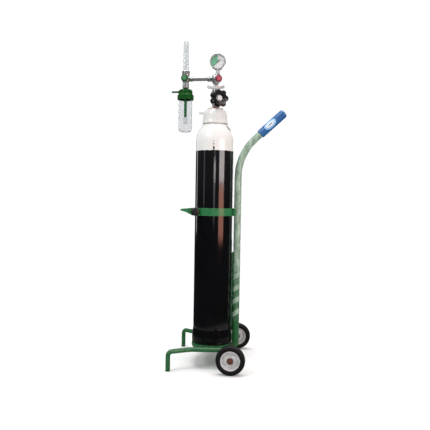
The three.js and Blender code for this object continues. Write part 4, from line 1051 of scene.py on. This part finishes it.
def flowmeter():
    pipe_place = facing(-19.2, 0, REGULATOR_Z, LEFT)
    length = 77.5
    pipe = joined(revolved(oblong(3, 7.7, 0, length), 0.4),
                  hex_nut(19, 2, 11), revolved([(7, 11.2), (9.2, 11.2), (9.2, 13), (7, 14)], 0.5),
                  hex_nut(17.4, length - 10, length - 1))
    piece("outlet_pipe", pipe, "pipe", pipe_place, sharp=25)
    place = facing(FLOW_X, 0, 0, UP)
    needle_place = facing(FLOW_X, 0, KNOB_Z, FRONT)
    side_place = facing(FLOW_X, 0, REGULATOR_Z, RIGHT)
    back = place.inverted()
    turning = [(0, 1021.4), (6, 1021.4), (6, 1031.5), (9, 1031.5), (12, 1034, 2), (13.5, 1038, 2),
               (13.5, 1058), (14.5, 1061), (14.5, 1074), (13.5, 1075.5), (0, 1075.5)]
    body = joined(revolved(turning, 0.8),
                  placed(revolved([(0, 0), (9, 0), (9, 15.4), (8.4, 16), (0, 16)], 0.5), back @ side_place),
                  placed(revolved([(0, 0), (8, 0), (8, 20.4), (7.4, 21), (0, 21)], 0.5),
                         back @ needle_place))
    bore = (extruded(circle(10.5, 64), 1063, 1080), place)
    piece("flowmeter_body", body, "chrome", place, voxel=0.45, passes=6, cutters=[bore], sharp=35)
    for k, z in enumerate((1062.6, 1072.2)):
        ring = revolved(oblong(14.0, 14.5, z, z + 1.2), 0.3)
        extra(f"flowmeter collar ring {k}", ring, "flowmeter_body", "chrome", place)
    inner = [(3.6, 1065.3), (5, 1065.3), (5, 1172), (4.2, 1172)]
    piece("flow_tube", revolved(inner, 0.2, 64), "tube", place, name="inner_flow_tube")
    outline = [(0, 1183), (5, 1182, 3), (8.2, 1176, 3), (8.6, 1090), (8.6, 1063.3), (10.1, 1063.3),
               (10.1, 1090), (9.8, 1177), (8.4, 1183, 3), (5, 1185.2, 3), (0, 1186)]
    piece("flow_tube_cover", revolved(outline, 0.4, 96), "tube", place)
    marks = []
    for k in range(11):
        z = 1078 + k * 8.6
        half = 0.62 if k % 2 == 0 else 0.4
        marks.append(arc_band(5.02, 5.14, -pi / 2 - half, -pi / 2 + half, z, z + 0.45, 12))
        if k % 2 == 0:
            flat, faces = numeral(str(k), 4.0, 0, 0, 0)
            wrapped = [polar(5.1 + vz, 0.95 + vx / 5.1 - pi / 2, z + 0.2 + vy) for vx, vy, vz in flat]
            marks.append((wrapped, faces))
    extra("flow tube marks", joined(*marks), "flow_tube", "grey_ink", place)
    half_turn = [pi * k / 24 for k in range(25)]
    ball = revolved([(max(0, 3.1 * sin(a)), 1070 - 3.1 * cos(a), 0) for a in half_turn], 0, 48)
    piece("float_ball", ball, "ink", place)
    knob = [(3.3, 22), (11.6, 22), (13, 24, 1), (13, 31, 1), (12, 34, 1), (9.6, 35.2, 1), (8.6, 34.4),
            (0.01, 34.4), (0.01, 31.3), (3.3, 31.3)]
    piece("flow_knob", revolved(knob, 0.6, 240, radius_at=lobed(13, 0.4, 30, 10)), "knob", needle_place)
    button = revolved([(0, 36), (7, 35.8, 1), (8.4, 35, 0.6), (8.4, 34.3), (0, 34.3)], 0.5)
    extra("flow knob button", button, "flow_knob", "pale_green", needle_place)


# ---------------------------------------------------------------- humidifier
def humidifier():
    place = facing(FLOW_X, 0, 0, UP)
    nut = [(6.4, 1011.5), (11.2, 1011.5, 1), (12.8, 1015, 3), (13, 1021, 6), (12.4, 1027, 3),
           (10.6, 1031, 1), (6.4, 1031)]

    def flats(r, z, angle):
        return min(r, 11.9 / cos((angle % (pi / 3)) - pi / 6))
    piece("coupling_nut", revolved(nut, 0.6, 192, radius_at=flats), "nickel", place, sharp=22)
    lid = [(2.5, 1021), (6, 1021), (6, 1007, 0.5), (15.5, 1007, 1), (20, 1006.7, 2), (24, 1004.2, 2),
           (25.6, 1000, 2), (26, 989.5, 1.5), (28.6, 987, 1.5), (30.4, 984, 2), (30.4, 970.4, 1),
           (29.4, 969), (26, 969), (26, 985), (2.5, 985)]

    def ribs(r, z, angle):
        if z < 985.5 and r > 29:
            return r - 0.45 * (0.5 + 0.5 * cos(48 * angle))
        if 990 < z < 1001 and r > 20:
            return r - 0.35 * (0.5 + 0.5 * cos(36 * angle))
        return r
    body = revolved(lid, 0.8, 288, radius_at=ribs)
    outlet_place = facing(FLOW_X, 0, 998, LEFT)
    back = place.inverted()
    barb = revolved([(0, 22), (5, 22), (4.8, 27.5, 1), (3.1, 30, 1), (3.1, 33), (3.9, 34), (3.1, 38),
                     (3.1, 39), (3.9, 40), (3.1, 44), (3.1, 45), (3.9, 46), (3.1, 51.6), (2.4, 52),
                     (1.8, 52), (1.8, 48), (0, 47.5)], 0.25, 64)
    post_place = facing(FLOW_X, 0, 997, BACK)
    post = revolved(oblong(0, 5.5, 22, 29), 0.5, 64)
    piece("humidifier_lid", body, "lid", place, sharp=50)
    extra("outlet barb", barb, "humidifier_lid", "lid", outlet_place)
    extra("relief valve post", post, "humidifier_lid", "lid", post_place)
    relief = revolved([(0, 29.3), (4.5, 29.3), (4.5, 36, 1), (3.2, 38, 1), (0, 38)], 0.5, 64)
    piece("relief_valve", relief, "lid", post_place, name="relief_valve_cap")
    bottle = [(0, 849), (15, 849, 6), (21, 851.5, 5), (24.4, 856, 5), (25.5, 862, 4), (25.5, 950),
              (25.1, 951.5), (25.1, 953), (25.5, 954.5), (25.5, 984.5), (23.9, 984.5), (23.9, 862, 4),
              (22.8, 857.5, 4), (20, 853.4, 4), (14, 851.2, 5), (0, 851.2)]
    piece("humidifier_bottle", revolved(bottle, 0.5, 128), "bottle", place)
    dip = oblong(3.4, 5.3, 905, 984.7)
    piece("dip_tube", revolved(dip, 0.3, 64), "dip", place)
    stone = [(0, 881.5), (5, 881.5, 1.5), (8, 884.5, 1.5), (8, 901, 1.5), (6, 904.7), (0, 904.7)]
    piece("diffuser", revolved(stone, 0.6, 64), "sinter", place)


def hidden_inside():
    """Pieces that are shut away inside others keep their CAD shape and get a finish."""
    inside = {"bearing_left": "steel", "bearing_right": "steel", "seat_plug": "brass",
              "valve_spindle": "steel", "diaphragm": "rubber", "regulator_spring": "steel",
              "bourdon_tube": "brass", "needle_valve": "brass"}
    for node, look in inside.items():
        data = frame["nodes"][node].data
        data.materials.clear()
        data.materials.append(LOOKS[look])


for make in (trolley_base, wheels, pole_and_grip, clamp, cylinder, shell_marks, valve, regulator, gauge,
             flowmeter, humidifier, hidden_inside):
    make()


# ---------------------------------------------------------------- floor, light and camera
def area_light(name, place, target, size, power, colour=(1, 1, 1)):
    lamp = bpy.data.lights.new(name, "AREA")
    lamp.shape = "RECTANGLE"
    lamp.size, lamp.size_y = size
    lamp.energy = power
    lamp.color = colour
    holder = shown(name, lamp)
    holder.location = place
    holder.visible_camera = False
    holder.visible_transmission = False
    holder.rotation_euler = (Vector(target) - Vector(place)).to_track_quat("-Z", "Y").to_euler()


FLOOR_REACH = 0.62
ROOM_DARK, FILL_LIGHT, BACKDROP_LIGHT = 0.014, 0.62, 1.05


def world_light():
    """White behind the object, a soft even fill, and a darker room for shiny surfaces to mirror."""
    nodes = Nodes("studio", bpy.data.worlds, "Background")
    scene.world = nodes.owner
    ray = nodes.add("LightPath").outputs
    room = nodes.ranged(nodes.axes("Generated")["Z"], ROOM_DARK, FILL_LIGHT, -0.05, 0.95)
    light = nodes.ranged(ray["Is Glossy Ray"], FILL_LIGHT, room)
    straight = nodes.maths("MAXIMUM", ray["Is Camera Ray"], ray["Is Transmission Ray"])
    nodes.feed(Color=(1, 1, 1, 1), Strength=nodes.ranged(straight, light, BACKDROP_LIGHT))


def pale_floor():
    """Pale to look at, and dark like the rest of the room in the reflections of shiny surfaces."""
    nodes = Nodes("pale floor")
    even = nodes.mixed(nodes.noise(30), (0.90, 0.90, 0.90), (0.92, 0.92, 0.92))
    mirrored = nodes.add("LightPath").outputs["Is Glossy Ray"]
    nodes.feed(Base_Color=nodes.mixed(mirrored, even, (0.14, 0.14, 0.14)), Roughness=0.7)
    return nodes.owner


def studio():
    floor_mesh = bpy.data.meshes.new("floor")
    rim = [(x * FLOOR_REACH, y * FLOOR_REACH, 0) for x, y in circle(1, 96)]
    floor_mesh.from_pydata(rim, [], [list(range(96))])
    floor = shown("floor", floor_mesh)
    floor_mesh.materials.append(pale_floor())
    world_light()
    middle = (0, 0, 0.6)
    area_light("key", (-1.6, -1.8, 2.6), middle, (1.0, 1.0), 27)
    area_light("top", (0, 0.2, 3.2), middle, (1.8, 1.8), 60)
    area_light("window", (1.33, -1.14, 0.92), (0, 0, 0.92), (1.0, 0.42), 7.5, (1.0, 0.93, 0.92))
    area_light("warm wall", (1.33, -1.14, 0.51), (0, 0, 0.51), (1.0, 0.38), 4.2, (1.0, 0.42, 0.31))
    area_light("lamp", (0.26, -2.285, 0.82), (0, 0, 0.8), (0.42, 0.14), 1.0)
    area_light("side strip", (-1.5, -0.95, 0.8), (0, 0, 0.75), (0.22, 0.5), 0.25, (0.85, 0.92, 1.0))
    area_light("back strip", (0.5, 1.9, 0.9), (0, 0, 0.7), (0.3, 1.2), 3.5)
    area_light("far strip", (-1.7, 1.0, 0.9), (0, 0, 0.7), (0.25, 1.1), 2.0)
    area_light("lamp below", (0.22, -2.28, 0.58), (0, 0, 0.6), (0.30, 0.30), 0.3, (0.85, 0.90, 1.0))


CAMERA_TURN = radians(6.55)
CAMERA_YAW = radians(-0.13)
CAMERA_PITCH = radians(1.83)
CAMERA_ROLL = radians(0.97)
CAMERA_DISTANCE, CAMERA_HEIGHT = 2029, 607.5
LENS_MM, SENSOR_MM = 45.628, 36


def camera():
    lens = bpy.data.cameras.new("camera")
    lens.sensor_width = SENSOR_MM
    lens.lens = LENS_MM
    lens.clip_start, lens.clip_end = 0.05, 60
    holder = shown("camera", lens)
    turn = CAMERA_TURN + CAMERA_YAW
    forward = Vector((-sin(turn) * cos(CAMERA_PITCH), cos(turn) * cos(CAMERA_PITCH), -sin(CAMERA_PITCH)))
    right = forward.cross(UP).normalized()
    up = right.cross(forward)
    rolled_right = right * cos(CAMERA_ROLL) + up * sin(CAMERA_ROLL)
    rolled_up = up * cos(CAMERA_ROLL) - right * sin(CAMERA_ROLL)
    axes = Matrix((rolled_right, rolled_up, -forward)).transposed().to_4x4()
    place = at(CAMERA_DISTANCE * sin(CAMERA_TURN), -CAMERA_DISTANCE * cos(CAMERA_TURN), CAMERA_HEIGHT)
    holder.matrix_world = Matrix.Translation(place) @ axes
    scene.camera = holder


studio()
camera()
scene.view_settings.view_transform = "Standard"
bpy.context.view_layer.update()
